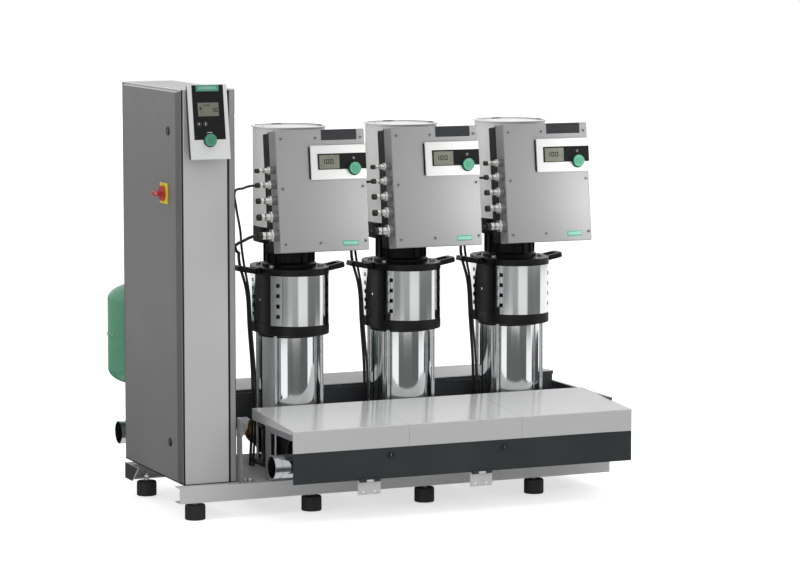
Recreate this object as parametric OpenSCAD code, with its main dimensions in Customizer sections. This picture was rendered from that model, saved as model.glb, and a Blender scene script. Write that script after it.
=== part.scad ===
/* [Base frame] */
// Width of the base frame over both rails
frame_w = 542; // [500:2:620]
// How far the frame sticks out past the cabinet's left side
frame_out = 28; // [10:1:60]
// How far the frame runs on past the last pump's axis
frame_past = 248; // [245:1:320]
// Height of the rails
rail_h = 52; // [44:1:70]
// Width of the rails' flanges
rail_flange = 45; // [40:1:55]
// Sheet thickness of the rails and decks
rail_t = 4; // [3:0.5:5]
// Gap between two neighbouring decks
deck_gap = 40; // [20:1:80]
// Diameter of the rubber feet
foot_d = 66; // [50:1:80]
// Height of the rubber feet
foot_h = 48; // [30:1:70]
// Free height between a foot and the rail
foot_gap = 9; // [8:0.5:20]
// Diameter of the feet's studs
stud_d = 10; // [8:1:12]
// First feet, from the frame's left end
foot_in = 63; // [50:1:90]

/* [Pumps] */
// Distance between neighbouring pump axes
pump_pitch = 400; // [390:2:460]
// First pump's axis, from the cabinet's left side
pump1_x = 454; // [440:2:500]
// Height of a pump's foot casing
casing_h = 141; // [135:1:170]
// Diameter of the foot casing
casing_d = 196; // [180:1:198]
// Thickness of the foot plate
plate_t = 16; // [12:1:22]
// Height of the ports above the deck
port_h = 75.6; // [74:0.2:85]
// Port flange diameter
flange_d = 140; // [120:1:144]
// Port flange thickness
flange_t = 16; // [12:1:20]
// Port flange face, from the pump's axis
port_face = 156; // [150:1:170]
// Outside diameter of the pump shell
shell_d = 200; // [198:1:206]
// Wall of the pump shell
shell_t = 3; // [2:0.5:5]
// Length of the pump shell
shell_h = 306; // [240:6:420]
// Number of pump stages
stages = 6; // [4:1:7]
// Diameter of the tie rods
rod_d = 12; // [8:1:16]
// Radius of the tie rods' circle
rod_r = 115; // [112:0.5:118]
// Diameter of the pump shaft
shaft_d = 24; // [18:1:30]

/* [Lantern and motor] */
// Radius of the lantern's round ends
lantern_r = 112; // [108:0.5:120]
// Half the length of the lantern's straight sides
lantern_half = 50; // [40:1:60]
// Height of the lantern's lower ring
ring_h = 34; // [30:1:60]
// Height of the coupling guards
guard_h = 163; // [150:1:200]
// Sheet thickness of the coupling guards
guard_t = 1.5; // [1:0.1:3]
// Side of the square guard holes
hole_w = 13; // [8:0.5:16]
// Thickness of the lantern's top flange
top_t = 22; // [16:1:30]
// Reach of the lifting handles, from the pump's axis
handle_reach = 189; // [180:1:215]
// Width of the lifting handles
handle_w = 70; // [60:1:90]
// Thickness of the lifting handles
handle_t = 17; // [10:0.5:20]
// Diameter of the motor's neck
neck_d = 166; // [150:1:170]
// Height of the motor's neck
neck_h = 80; // [75:1:120]
// Width of the motor cowl
cowl_w = 226; // [200:1:236]
// Corner radius of the motor cowl
cowl_r = 95; // [20:1:100]
// Height of the motor cowl
cowl_h = 328; // [315:1:380]
// Wall of the motor cowl
cowl_t = 2.5; // [2:0.5:4]
// Outside diameter of the motor bearings
bearing_d = 80; // [70:1:90]
// Diameter of the motor shaft
motor_shaft_d = 38; // [28:1:42]

/* [Converter] */
// Width of the frequency converter
conv_w = 307; // [290:1:310]
// Height of the frequency converter
conv_h = 390; // [380:1:410]
// Depth of the converter's lid
lid_d = 60; // [50:1:70]
// Depth of the converter's rear housing
conv_d = 68; // [55:1:85]
// Converter face, from the pump's axis
conv_reach = 293; // [285:1:320]
// Backward lean of the converter in degrees
conv_tilt = 6.9; // [4:0.1:9]
// Middle of the converter face above the lantern's top
conv_up = 268; // [262:1:290]
// Width of the display bezel
bezel_w = 191.5; // [180:0.5:196]
// Height of the display bezel
bezel_h = 110; // [95:1:115]
// How far the bezel stands proud of the lid
bezel_t = 7; // [4:0.5:10]
// Middle of the bezel above the middle of the face
bezel_up = 89; // [80:1:100]
// Knob axis, from the middle of the face
knob_x = 111; // [100:1:120]
// Knob axis above the middle of the face
knob_up = 68; // [60:1:80]
// Diameter of the setting knobs
knob_d = 40; // [28:0.5:44]
// Length of the setting knobs
knob_l = 10; // [9:0.5:26]
// Diameter of the knobs' spindles
spindle_d = 8; // [5:0.5:10]
// Press travel of the setting knobs
press = 1.5; // [0.5:0.1:2.5]
// Length of the cable glands
gland_l = 68; // [40:1:72]

/* [Control cabinet] */
// Width of the cabinet
cab_w = 178; // [170:1:200]
// Depth of the cabinet
cab_d = 581; // [560:1:600]
// Height of the cabinet
cab_h = 1261; // [1200:5:1400]
// Cabinet front, ahead of the pump row
cab_ahead = 232; // [228:1:245]
// Sheet thickness of the cabinet
cab_t = 2; // [1.5:0.5:3]
// Thickness of the door
door_t = 18; // [16:1:24]
// Width of the solid rim round the door
door_rim = 20; // [18:1:30]
// Side of the main switch plate
switch_w = 67; // [48:1:80]
// Thickness of the main switch plate
switch_t = 8; // [5:0.5:12]
// Height of the main switch above the deck
switch_up = 924; // [800:1:1000]
// Length of the main switch grip
grip_l = 22; // [16:1:30]
// Diameter of the quarter-turn door locks
lock_d = 22; // [16:1:26]
// Distance of the upper door lock from the cabinet's top
lock_down = 136; // [110:1:200]
// Height of the lower door lock above the deck
lock_up = 122; // [110:1:200]
// Width of the operating panel
hmi_w = 132; // [120:1:138]
// Height of the operating panel
hmi_h = 237; // [220:1:250]
// Thickness of the operating panel's front
hmi_t = 6; // [4:0.5:10]
// Backward lean of the operating panel in degrees
hmi_tilt = 8.9; // [7:0.1:9]
// Middle of the operating panel ahead of the cabinet
hmi_out = 36; // [30:0.5:45]
// Middle of the operating panel above the deck
hmi_up = 1161; // [1080:1:1200]
// Knob axis below the middle of the operating panel
hmi_knob_down = 58; // [50:1:70]

/* [Pipework] */
// Outside diameter of the manifolds
pipe_d = 76.1; // [70:0.1:82]
// Wall of the manifolds and branches
pipe_t = 3.2; // [2.6:0.2:4]
// Manifold axis, from the pump row
pipe_y = 428; // [424:1:432]
// Left end of the front manifold, from the cabinet's left side
front_pipe_x = 223; // [200:1:260]
// Left end of the rear manifold, from the cabinet's left side
rear_pipe_x = 2; // [0:1:30]
// Manifolds past the last pump's axis
pipe_past = 200; // [100:1:210]
// Outside diameter of the branches
branch_d = 60.3; // [48:0.1:64]
// Length of an isolating valve
valve_l = 100; // [90:1:120]
// Diameter of an isolating valve
valve_d = 84; // [76:1:90]
// Length of a check valve
check_l = 40; // [30:1:50]
// Diameter of the valve stems
stem_d = 14; // [10:1:18]
// Length of the valve levers
lever_l = 115; // [90:1:130]
// Diameter of the membrane vessel
vessel_d = 206; // [180:1:210]
// Height of the membrane vessel
vessel_h = 345; // [300:1:400]
// Vessel axis, from the cabinet's left side
vessel_x = 89; // [80:1:140]
// Vessel axis behind the manifold's axis
vessel_back = 40; // [38:1:60]
// Height of the vessel's lower end above the manifold's axis
vessel_up = 156; // [150:1:200]

/* [Covers] */
// Left end of the covers, from the cabinet's left side
cover_x = 278; // [270:1:284]
// Front plane of the front cover, from the pump row
cover_front = 474; // [474:0.5:480]
// Depth of the covers
cover_d = 361.5; // [355:0.5:362]
// Height of the front cover's front edge above the floor
cover_z = 300; // [296:1:310]
// Rise of the front cover from front to back
cover_rise = 26; // [10:1:40]
// Height of the rear cover's outer edge above the floor
rear_z = 337; // [330:1:350]
// Rise of the rear cover towards the pumps
rear_rise = 18; // [10:1:40]
// Sheet thickness of the covers
cover_t = 2; // [1.5:0.5:3]
// Gap between neighbouring covers
cover_gap = 0.8; // [0.5:0.1:2]
// Height of the front cover's front flange
flange_drop = 70.5; // [60:0.5:75]
// Height of the lip on the inner edge of the covers
lip_h = 34; // [20:1:40]
// Height of the front flap
flap_h = 99; // [80:0.5:105]
// Thickness of the front flap
flap_t = 2.5; // [2:0.5:4]
// Width of a flap hinge bracket
hinge_w = 78; // [60:1:100]
// First hinge bracket, from the covers' left end
hinge_x = 262; // [230:1:280]
// Distance between the hinge brackets
hinge_pitch = 393; // [360:1:420]
// First flap lock, from the covers' left end
flap_lock_x = 336; // [330:1:380]
// Diameter of the hinge pins
pin_d = 4; // [3:0.5:5]
// Thickness of the right side panel and the inner panel
panel_t = 2; // [1.5:0.5:3]
// Height of the right side panel above the floor
side_z = 318; // [290:1:325]

/* [Hidden] */
$fn = 48;

// Clearances: a running fit, a free gap and the cut that runs past a face
run = 0.05;
free = 0.3;
past = 1;

// Heights of the base and of what stands on it
pump_n = 3;
rail_z = foot_h + foot_gap;
deck_z = rail_z + rail_h;
port_z = deck_z + port_h;
casing_top = deck_z + casing_h;
lantern_z = casing_top + shell_h;
guard_z = lantern_z + ring_h;
top_z = guard_z + guard_h;
motor_z = top_z + top_t;
conv_z = motor_z + conv_up;
function pump_x(i) = pump1_x + i * pump_pitch;
frame_end = pump_x(pump_n - 1) + frame_past;
frame_l = frame_end + frame_out;
deck_l = frame_w - 2 * rail_flange;
deck_w = pump_pitch - deck_gap;
end_deck_w = 60;
foot_y = frame_w / 2 - 0.75 * rail_flange;

// Rail end plates: widths at the top and at the bottom
end_top_w = 132;
end_low_w = 69;

// Pump casing
plate_w = 190;
plate_l = 220;
neck_port_d = 76;
port_bore = 50;
chamber_d = 150;

// Rotor heights
stage_h = shell_h / stages;
stage_wall = 6;
impeller_d = 144;
impeller_h = 22;
hub_d = 40;
coupling_d = 68;
coupling_in = 10;
cowl_rim = 52;
cowl_lip = 6;
cowl_edge = 4;
cowl_z = motor_z + neck_h + cowl_rim;
bearing_h = 25;
bearing_low = motor_z + 25;
bearing_top = cowl_z + cowl_h - 93;
stator_d = 156;
stator_top = bearing_top + bearing_h + 5;
rotor_d = 96;
rotor_z = cowl_z + 40;
rotor_h = cowl_h - 148;
fan_d = 150;
fan_z = stator_top + 8;
fan_h = 24;

// Lantern sides: where the columns and the two guards end, along the pump's depth
guard_front_y = -95;
guard_rear_y = 22;
column_t = 16;
seal_d = 60;
coupling_bore = 120;
front_hole_a = 51;
front_holes = 4;
front_hole_pitch = 34;
side_holes = 5;
side_hole_pitch = 28;
side_hole_y = 42;
handle_pad = 12;
handle_root = 4;
handle_drop = 2;
handle_lift = 10.5;
handle_bar = 16;

// Converter: wall, adapter to the motor and the cable entries on its left side
lid_t = 2.5;
lid_r = 6;
conv_in = 4;
flange_lip = 4;
adapter_w = 150;
adapter_h = 200;
strip_w = 167.5;
strip_h = 51;
strip_up = 92.5;
strip_t = 1.2;
gland_d = [26, 29, 32, 36, 40];
gland_up = [70, 24, -26, -78, -137];
gland_y = 18;
spindle_in = 20;
knob_gap = 2;
knob_socket = 6.5;

// Cabinet: recess of the front panel, door and its pivots
cab_front = -cab_ahead;
cab_back = cab_d - cab_ahead;
cab_top = deck_z + cab_h;
recess = 6;
panel_left = 6;
panel_right = 25;
strip_right = 18;
door_gap = 1.5;
door_front = cab_front + recess + cab_t + 3;
door_back = cab_back - cab_t - 5;
door_low = deck_z + cab_t + door_gap;
door_high = cab_top - cab_t - door_gap;
pivot_x = door_t / 2;
pivot_y = door_back - door_t / 2;
pivot_d = 8;
pivot_l = 18;
return_w = 79;
return_x = door_t + 2;
lock_y = cab_front + 127;
lock_head = 3;
tongue_l = 60;
tongue_w = 14;
tongue_t = 3;
switch_y = cab_front + 156.5;
switch_d = 50;
switch_base = 8;
switch_shaft = 10;
switch_bar = 14;
switch_z = deck_z + switch_up;
switch_depth = switch_t + free + switch_base + grip_l;
board_t = 3;
board_off = 13;
// Switchgear rows: number, depth, then shares of the board: start, pitch, height up, width, height
devices = [[3, 60, 0.1, 0.287, 0.555, 0.237, 0.188], [6, 50, 0.1, 0.137, 0.327, 0.112, 0.089],
  [1, 25, 0.075, 0, 0.119, 0.85, 0.05], [1, 40, 0.1, 0, 0.793, 0.8, 0.04]];
hmi_x = cab_w / 2 - 9.5;
hmi_z = deck_z + hmi_up;
hmi_edge = 2;
hmi_body = 22;
hmi_stem = 50;

// Pipework
suction_end = port_face + valve_l;
discharge_end = port_face + check_l + valve_l;
collar = 14;
collar_l = 18;
seat_l = 16;
groove_w = 8.5;
groove_in = 1.9;
stem_top = valve_d / 2 + 14;
stem_in = 20;
boss_d = 30;
lever_w = 22;
lever_t = 5;
hub_lever_d = 28;
grip_from = 45;
vessel_t = 3;
vessel_z = port_z + vessel_up;
vessel_y = pipe_y + vessel_back;
dome = 55;
seam_d = 6;
seam_h = 10;
tee_d = 40;
tee_h = 50;
fitting_d = 34;
elbow_d = 30;
nipple_d = 26;
nipple_h = 14;
sensor_d = 22;
sensor_h = 25;

// Covers
cover_end = cover_x + pump_n * pump_pitch;
cover_back = cover_front - cover_d;
flange_z = cover_z - flange_drop;
flap_top = flange_z - 0.5;
flap_z = flap_top - flap_h;
hem_h = 13;
side_drop = 12;
knuckle_r = 4;
knuckle_l = 24;
hinge_y = -cover_front - 3;
hinge_z = flap_z - 3;
bracket_drop = 48;
bracket_t = 3;
clamp_t = 5;
clamp_w = 40;
support_t = 4;
support_h = 30;
post_w = 40;
bracket_x = cab_w + 4;
foot_l = 50;
bracket_h = 208;
gusset_w = 36;
side_l = 624;
fold_w = 6.5;
inner_h = 86;
side_x = cover_end + 8;
flap_lock_d = 16;
flap_lock_z = flap_top - 24;

// The origin is below the middle of the whole set, on the floor
x_low = -max(frame_out, switch_depth);
y_low = -cover_front - 3 - knuckle_r;
y_high = vessel_y + vessel_d / 2 + seam_d / 2;
centre_x = (x_low + frame_end) / 2;
centre_y = (y_low + y_high) / 2;

// Cable routes from the gland's tip down to the deck, from the pump's axis
signal_d = 8;
power_d = 10;
cable_end_z = deck_z + 0.5;
cable_out = -conv_w / 2 - gland_l - free;
// The cables bend back short of the next pump's converter
bend_x = max(cable_out - 18, conv_w / 2 - pump_pitch + power_d / 2 + 2);
bend_mid = (cable_out + bend_x) / 2;
signal_route = [[cable_out, -272, conv_z + 21], [bend_mid, -271, conv_z + 21],
  [bend_x + 2, -261, conv_z + 19], [bend_x, -212, conv_z + 9], [-245, -150, conv_z - 7],
  [-228, -115, conv_z - 58], [-194, -60, motor_z + 129],
  [-158, 22, motor_z + 60], [-140, 52, motor_z + 9], [-126, 44, motor_z - 85], [-122, 34, lantern_z + 20],
  [-113, 20, casing_top + 120], [-120, 26, cable_end_z]];
power_route = [[cable_out, -291, conv_z - 138], [bend_mid, -290, conv_z - 138],
  [bend_x + 2, -280, conv_z - 141], [bend_x, -228, conv_z - 155], [-243, -150, conv_z - 179],
  [-225, -100, motor_z + 73],
  [-200, -45, motor_z + 57], [-174, 5, motor_z + 45], [-160, 45, motor_z + 31], [-149, 65, motor_z + 1],
  [-128, 60, motor_z - 85], [-124, 50, lantern_z + 20], [-116, 38, casing_top + 120],
  [-124, 44, cable_end_z]];
cable_sides = 8;

module place() translate([-centre_x, -centre_y, 0]) children();
module at_pump(i) place() translate([pump_x(i), 0, 0]) children();
module at_pumps() for (i = [0 : pump_n - 1]) at_pump(i) children();
module along_x(d, l) rotate([0, 90, 0]) cylinder(d = d, h = l);
module along_y(d, l) rotate([-90, 0, 0]) cylinder(d = d, h = l);
// A flat outline, drawn as width and depth, made into a bar that runs along X
module bar_x(l) rotate([90, 0, 90]) linear_extrude(l) children();
// A flat outline, seen from the front, made into a plate that runs back along Y
module into_y(l) rotate([-90, 0, 0]) linear_extrude(l) children();
module rounded(w, h, r) {
  square([w - 2 * r, h], center = true);
  square([w, h - 2 * r], center = true);
  for (x = [-1, 1], y = [-1, 1]) translate([x * (w / 2 - r), y * (h / 2 - r)]) circle(r);
}
module stadium(r, half) {
  for (s = [-1, 1]) translate([0, s * half]) circle(r);
  square([2 * r, 2 * half], center = true);
}
// The converter's own frame: middle of its face, depth along Y, height along Z
module conv_frame() translate([0, -conv_reach, conv_z]) rotate([-conv_tilt, 0, 0]) children();
module hmi_frame() translate([hmi_x, cab_front - hmi_out, hmi_z]) rotate([-hmi_tilt, 0, 0]) children();

// Sweep of a round section along a list of points
function unit(v) = v / norm(v);
function tangent(p, i) = unit(p[min(i + 1, len(p) - 1)] - p[max(i - 1, 0)]);
function side_of(t) = unit(cross(t, abs(t.x) > 0.9 ? [0, 1, 0] : [1, 0, 0]));
function carried(p, i) = i == 0 ? side_of(tangent(p, 0)) :
  let (t = tangent(p, i), s = carried(p, i - 1)) unit(s - (s * t) * t);
module cable(p, d) {
  n = cable_sides;
  points = [for (i = [0 : len(p) - 1]) let (t = tangent(p, i), s = carried(p, i), u = cross(t, s))
    for (k = [0 : n - 1]) p[i] + d / 2 * (cos(360 * k / n) * s + sin(360 * k / n) * u)];
  walls = [for (i = [0 : len(p) - 2], k = [0 : n - 1]) let (a = i * n + k, b = i * n + (k + 1) % n)
    each [[a, b + n, b], [a, a + n, b + n]]];
  last = (len(p) - 1) * n;
  polyhedron(points, concat(walls, [[for (k = [0 : n - 1]) k]], [[for (k = [n - 1 : -1 : 0]) last + k]]));
}

module rail() {
  difference() {
    bar_x(frame_l) difference() {
      square([rail_flange, rail_h]);
      translate([rail_t, rail_t]) square([rail_flange, rail_h - 2 * rail_t]);
    }
    for (i = [0 : pump_n]) translate([foot_in + i * pump_pitch, frame_w / 2 - foot_y, -past])
      cylinder(d = stud_d + 2 * free, h = rail_t + 2 * past);
  }
}
module base_front_rail() color("#939393") place() translate([-frame_out, -frame_w / 2, rail_z]) rail();
module base_rear_rail() color("#939393") place() {
  translate([-frame_out, frame_w / 2, rail_z]) mirror([0, 1, 0]) rail();
  for (x = [-frame_out, frame_end - rail_t]) translate([x, 0, rail_z]) bar_x(rail_t)
    polygon([[frame_w / 2, 0], [frame_w / 2, rail_h], [frame_w / 2 - end_top_w, rail_h],
      [frame_w / 2 - end_low_w, 0]]);
}
module deck(w) {
  translate([0, deck_l / 2, rail_z]) rotate([90, 0, 0]) linear_extrude(deck_l) difference() {
    translate([-w / 2, 0]) square([w, rail_h]);
    translate([-w / 2 + rail_t, -past]) square([w - 2 * rail_t, rail_h - rail_t + past]);
  }
}
module base_cross_members() color("#9a9a9a") {
  at_pumps() deck(deck_w);
  place() translate([deck_gap / 2, -deck_l / 2, deck_z - rail_t]) cube([cab_w - deck_gap, deck_l, rail_t]);
  place() translate([frame_end - rail_t - end_deck_w / 2, 0, 0]) deck(end_deck_w);
}
module at_feet() place() for (i = [0 : pump_n], s = [-1, 1])
  translate([foot_in - frame_out + i * pump_pitch, s * foot_y, 0]) children();
module rubber_feet() color("#333333") at_feet() cylinder(d = foot_d, h = foot_h);
module foot_studs() color("#c0c0c0") at_feet() {
  translate([0, 0, foot_h]) cylinder(d = 2 * stud_d, h = foot_gap);
  translate([0, 0, rail_z - past]) cylinder(d = stud_d, h = rail_t + stud_d + 2 * past);
  translate([0, 0, rail_z + rail_t]) cylinder(d = 1.9 * stud_d, h = 0.8 * stud_d, $fn = 6);
}

// A manifold along X with one branch to each pump, its left end open
module manifold(left, reach, side) {
  length = pump_x(pump_n - 1) + pipe_past - left;
  difference() {
    union() {
      translate([left, side * pipe_y, port_z]) along_x(pipe_d, length);
      for (i = [0 : pump_n - 1]) translate([pump_x(i), side * pipe_y, port_z])
        rotate([side * 90, 0, 0]) cylinder(d = branch_d, h = pipe_y - reach);
      children();
    }
    translate([left - past, side * pipe_y, port_z]) along_x(pipe_d - 2 * pipe_t, length - 2 * pipe_t + past);
    translate([left + seat_l, side * pipe_y, port_z]) difference() {
      along_x(pipe_d + 2, groove_w);
      translate([-past, 0, 0]) along_x(pipe_d - 2 * groove_in, groove_w + 2 * past);
    }
    for (i = [0 : pump_n - 1]) translate([pump_x(i), side * pipe_y, port_z])
      rotate([side * 90, 0, 0]) cylinder(d = branch_d - 2 * pipe_t, h = pipe_y - reach + past);
  }
}
module suction_manifold() color("#c4c6c8") place() manifold(front_pipe_x, suction_end, -1);
module discharge_manifold() color("#c4c6c8") place() manifold(rear_pipe_x, discharge_end, 1)
  translate([vessel_x, pipe_y, port_z]) cylinder(d = tee_d, h = tee_h);
// A ball valve along +Y with the stem's boss on top, drawn from its pump side
module valve() {
  difference() {
    union() {
      along_y(valve_d, valve_l);
      for (y = [0, valve_l - collar_l]) translate([0, y, 0]) along_y(valve_d + collar, collar_l);
      translate([0, valve_l / 2, 0]) cylinder(d = boss_d, h = stem_top);
    }
    translate([0, -past, 0]) along_y(port_bore, valve_l + 2 * past);
    translate([0, valve_l / 2, stem_top - stem_in]) cylinder(d = stem_d + 2 * run, h = stem_in + past);
  }
}
module valve_bodies() color("#b09a5a") at_pumps() {
  translate([0, -port_face, port_z]) mirror([0, 1, 0]) valve();
  translate([0, port_face + check_l, port_z]) valve();
  translate([0, port_face, port_z]) difference() {
    along_y(valve_d + collar, check_l);
    translate([0, -past, 0]) along_y(port_bore, check_l + 2 * past);
  }
}
module lever() {
  translate([0, 0, stem_top - stem_in + free]) cylinder(d = stem_d, h = stem_in + lever_t);
  translate([0, 0, stem_top + free]) cylinder(d = hub_lever_d, h = 2 * lever_t);
  translate([-lever_w / 2, 0, stem_top + free]) cube([lever_w, lever_l, lever_t]);
  translate([-lever_w / 2 - 2, grip_from, stem_top + free])
    cube([lever_w + 4, lever_l - grip_from, 2 * lever_t]);
}
module suction_lever(i) color("#b8322c") at_pump(i)
  translate([0, -port_face - valve_l / 2, port_z]) mirror([0, 1, 0]) lever();
module discharge_lever(i) color("#b8322c") at_pump(i)
  translate([0, port_face + check_l + valve_l / 2, port_z]) lever();
// Half outline of the vessel: straight sides between two elliptical ends
function vessel_outline(r, low, high, d) = concat([[0, low], [0, high]],
  [for (a = [80 : -10 : 0]) [r * cos(a), high - d + d * sin(a)]],
  [for (a = [0 : -10 : -80]) [r * cos(a), low + d + d * sin(a)]]);
module membrane_vessel() color("#5a9a80") place() translate([vessel_x, vessel_y, vessel_z]) {
  difference() {
    union() {
      rotate_extrude() polygon(vessel_outline(vessel_d / 2, 0, vessel_h, dome));
      translate([0, 0, vessel_h / 2 - seam_h / 2]) cylinder(d = vessel_d + seam_d, h = seam_h);
      translate([0, 0, -nipple_h]) cylinder(d = nipple_d, h = nipple_h + vessel_t);
    }
    rotate_extrude() polygon(vessel_outline(vessel_d / 2 - vessel_t, vessel_t, vessel_h - vessel_t, dome));
  }
}
module vessel_fitting() color("#b09a5a") place() translate([vessel_x, pipe_y, port_z + tee_h]) {
  rise = vessel_up - nipple_h - tee_h;
  mid = rise - elbow_d / 2;
  cylinder(d = fitting_d, h = mid);
  translate([0, 0, mid - elbow_d / 2]) along_y(elbow_d, vessel_back);
  translate([0, vessel_back, mid - elbow_d]) cylinder(d = fitting_d, h = rise - mid + elbow_d);
  translate([0, 0, mid]) cylinder(d = sensor_d, h = sensor_h);
}

module pump_feet() color("#2b2b2b") at_pumps() difference() {
  union() {
    translate([-plate_w / 2, -plate_l / 2, deck_z]) cube([plate_w, plate_l, plate_t]);
    translate([0, 0, deck_z + plate_t]) cylinder(d = casing_d, h = casing_h - plate_t);
    translate([0, 0, casing_top - 12]) cylinder(d = shell_d, h = 12);
    translate([0, -port_face + past, port_z]) along_y(neck_port_d, 2 * port_face - 2 * past);
    for (y = [-port_face, port_face - flange_t]) translate([0, y, port_z]) along_y(flange_d, flange_t);
  }
  translate([0, 0, deck_z + 2 * plate_t]) cylinder(d = chamber_d, h = casing_h);
  translate([0, -port_face - past, port_z]) along_y(port_bore, 2 * port_face + 2 * past);
}
module pump_shells() color("#c9cccd") at_pumps() translate([0, 0, casing_top]) difference() {
  cylinder(d = shell_d, h = shell_h, $fn = 96);
  translate([0, 0, -past]) cylinder(d = shell_d - 2 * shell_t, h = shell_h + 2 * past, $fn = 96);
}
module diffuser_stacks() color("#b9bcbd") at_pumps() translate([0, 0, casing_top]) difference() {
  cylinder(d = shell_d - 2 * shell_t - 2 * free, h = shell_h);
  for (i = [0 : stages - 1]) translate([0, 0, i * stage_h + stage_wall])
    cylinder(d = impeller_d + 12, h = stage_h - stage_wall + (i == stages - 1 ? past : -0.01));
  translate([0, 0, -past]) cylinder(d = hub_d + 12, h = shell_h + 2 * past);
}
module tie_rods() color("#c2c4c6") at_pumps() for (a = [45 : 90 : 315])
  rotate([0, 0, a]) translate([rod_r, 0, deck_z + plate_t]) {
    cylinder(d = rod_d, h = lantern_z - deck_z - plate_t);
    cylinder(d = 1.75 * rod_d, h = 0.8 * rod_d, $fn = 6);
  }
module lanterns() color("#1d1d1d") at_pumps() difference() {
  union() {
    translate([0, 0, lantern_z]) linear_extrude(ring_h) stadium(lantern_r, lantern_half);
    translate([0, 0, lantern_z + 1]) linear_extrude(ring_h + guard_h + top_t / 2) intersection() {
      difference() {
        stadium(lantern_r - guard_t - free, lantern_half);
        stadium(lantern_r - guard_t - column_t, lantern_half);
      }
      translate([-lantern_r, guard_front_y]) square([2 * lantern_r, guard_rear_y - guard_front_y]);
    }
    translate([0, 0, top_z]) linear_extrude(top_t) stadium(lantern_r, lantern_half);
  }
  translate([0, 0, lantern_z - past]) cylinder(d = seal_d, h = ring_h + 2 * past);
  translate([0, 0, top_z - past]) cylinder(d = coupling_bore, h = top_t + 2 * past);
}
module lifting_handle() {
  translate([lantern_r, -handle_w / 2, top_z + 1]) cube([handle_pad, handle_w, top_t - 2]);
  reach = (handle_reach - lantern_r - handle_root) / cos(handle_lift);
  translate([lantern_r + handle_root, 0, top_z - handle_drop]) rotate([0, -handle_lift, 0])
    linear_extrude(handle_t) difference() {
      translate([reach / 2, 0]) rounded(reach, handle_w, 10);
      translate([reach / 2, 0]) rounded(reach - 2 * handle_bar, handle_w - 2 * handle_bar, 6);
    }
}
module lifting_handles() color("#1d1d1d") at_pumps() {
  lifting_handle();
  mirror([1, 0, 0]) lifting_handle();
}
module guard_sheet(low, high) linear_extrude(guard_h) intersection() {
  difference() {
    stadium(lantern_r, lantern_half);
    stadium(lantern_r - guard_t, lantern_half);
  }
  translate([-lantern_r - past, low]) square([2 * lantern_r + 2 * past, high - low]);
}
module coupling_guards() color("#c9cccd") at_pumps() translate([0, 0, guard_z]) {
  far = lantern_r + lantern_half + past;
  difference() {
    guard_sheet(-far, guard_front_y);
    for (s = [-1, 1], k = [0 : front_holes - 1]) translate([0, -lantern_half, 0])
      rotate([0, 0, -90 + s * front_hole_a])
        translate([lantern_r, 0, guard_h / 2 + (k - (front_holes - 1) / 2) * front_hole_pitch])
          cube([4 * guard_t + 4, hole_w, hole_w], center = true);
  }
  difference() {
    guard_sheet(guard_rear_y, far);
    for (s = [-1, 1], k = [0 : side_holes - 1])
      translate([s * lantern_r, side_hole_y, guard_h / 2 + (k - (side_holes - 1) / 2) * side_hole_pitch])
        cube([4 * guard_t + 4, hole_w, hole_w], center = true);
  }
}
module motor_housings() color("#161616") at_pumps() difference() {
  union() {
    translate([0, 0, motor_z]) cylinder(d = neck_d, h = neck_h);
    translate([0, 0, cowl_z - cowl_rim]) linear_extrude(cowl_rim) rounded(cowl_w, cowl_w, cowl_r);
    translate([0, 0, cowl_z - past]) cylinder(d = stator_d, h = stator_top - cowl_z + past);
  }
  translate([0, 0, motor_z - past]) cylinder(d = bearing_d - 10, h = stator_top - motor_z + 2 * past);
  translate([0, 0, bearing_low + bearing_h + 10])
    cylinder(d = rotor_d + 8, h = bearing_top - bearing_low - bearing_h - 20);
  translate([0, 0, motor_z - past]) cylinder(d = bearing_d, h = bearing_low + bearing_h - motor_z + past);
  translate([0, 0, bearing_top]) cylinder(d = bearing_d, h = stator_top - bearing_top + past);
}
module motor_cowls() color("#d4d4d4") at_pumps() translate([0, 0, cowl_z]) difference() {
  union() {
    linear_extrude(cowl_h) rounded(cowl_w, cowl_w, cowl_r);
    translate([0, 0, cowl_h - cowl_edge]) linear_extrude(cowl_edge)
      rounded(cowl_w + 2 * cowl_lip, cowl_w + 2 * cowl_lip, cowl_r + cowl_lip);
  }
  translate([0, 0, -past]) linear_extrude(cowl_h - 10 + past)
    rounded(cowl_w - 2 * cowl_t, cowl_w - 2 * cowl_t, cowl_r - cowl_t);
  translate([0, 0, cowl_h - 7]) linear_extrude(7 + past)
    rounded(cowl_w - 3 * cowl_t, cowl_w - 3 * cowl_t, cowl_r - 1.5 * cowl_t);
}
module motor_bearings() color("#b9bcbd") at_pumps() for (z = [bearing_low, bearing_top])
  translate([0, 0, z]) difference() {
    cylinder(d = bearing_d - 0.04, h = bearing_h);
    translate([0, 0, -past]) cylinder(d = motor_shaft_d + 2 * run, h = bearing_h + 2 * past);
  }
module rotor(i) color("#aeb1b3") at_pump(i) {
  shaft_low = deck_z + 3 * plate_t;
  translate([0, 0, shaft_low]) cylinder(d = shaft_d, h = guard_z + coupling_in + past - shaft_low);
  for (k = [0 : stages - 1]) translate([0, 0, casing_top + k * stage_h + stage_wall]) {
    translate([0, 0, (stage_h - stage_wall - impeller_h) / 2]) cylinder(d = impeller_d, h = impeller_h);
    cylinder(d = hub_d, h = stage_h - stage_wall - 2);
  }
  translate([0, 0, guard_z + coupling_in]) cylinder(d = coupling_d, h = guard_h - 2 * coupling_in);
  translate([0, 0, top_z - coupling_in - past]) cylinder(d = motor_shaft_d, h = fan_z + fan_h - top_z);
  translate([0, 0, rotor_z]) cylinder(d = rotor_d, h = rotor_h);
  translate([0, 0, fan_z]) cylinder(d = fan_d, h = fan_h - coupling_in - past);
}

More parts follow.
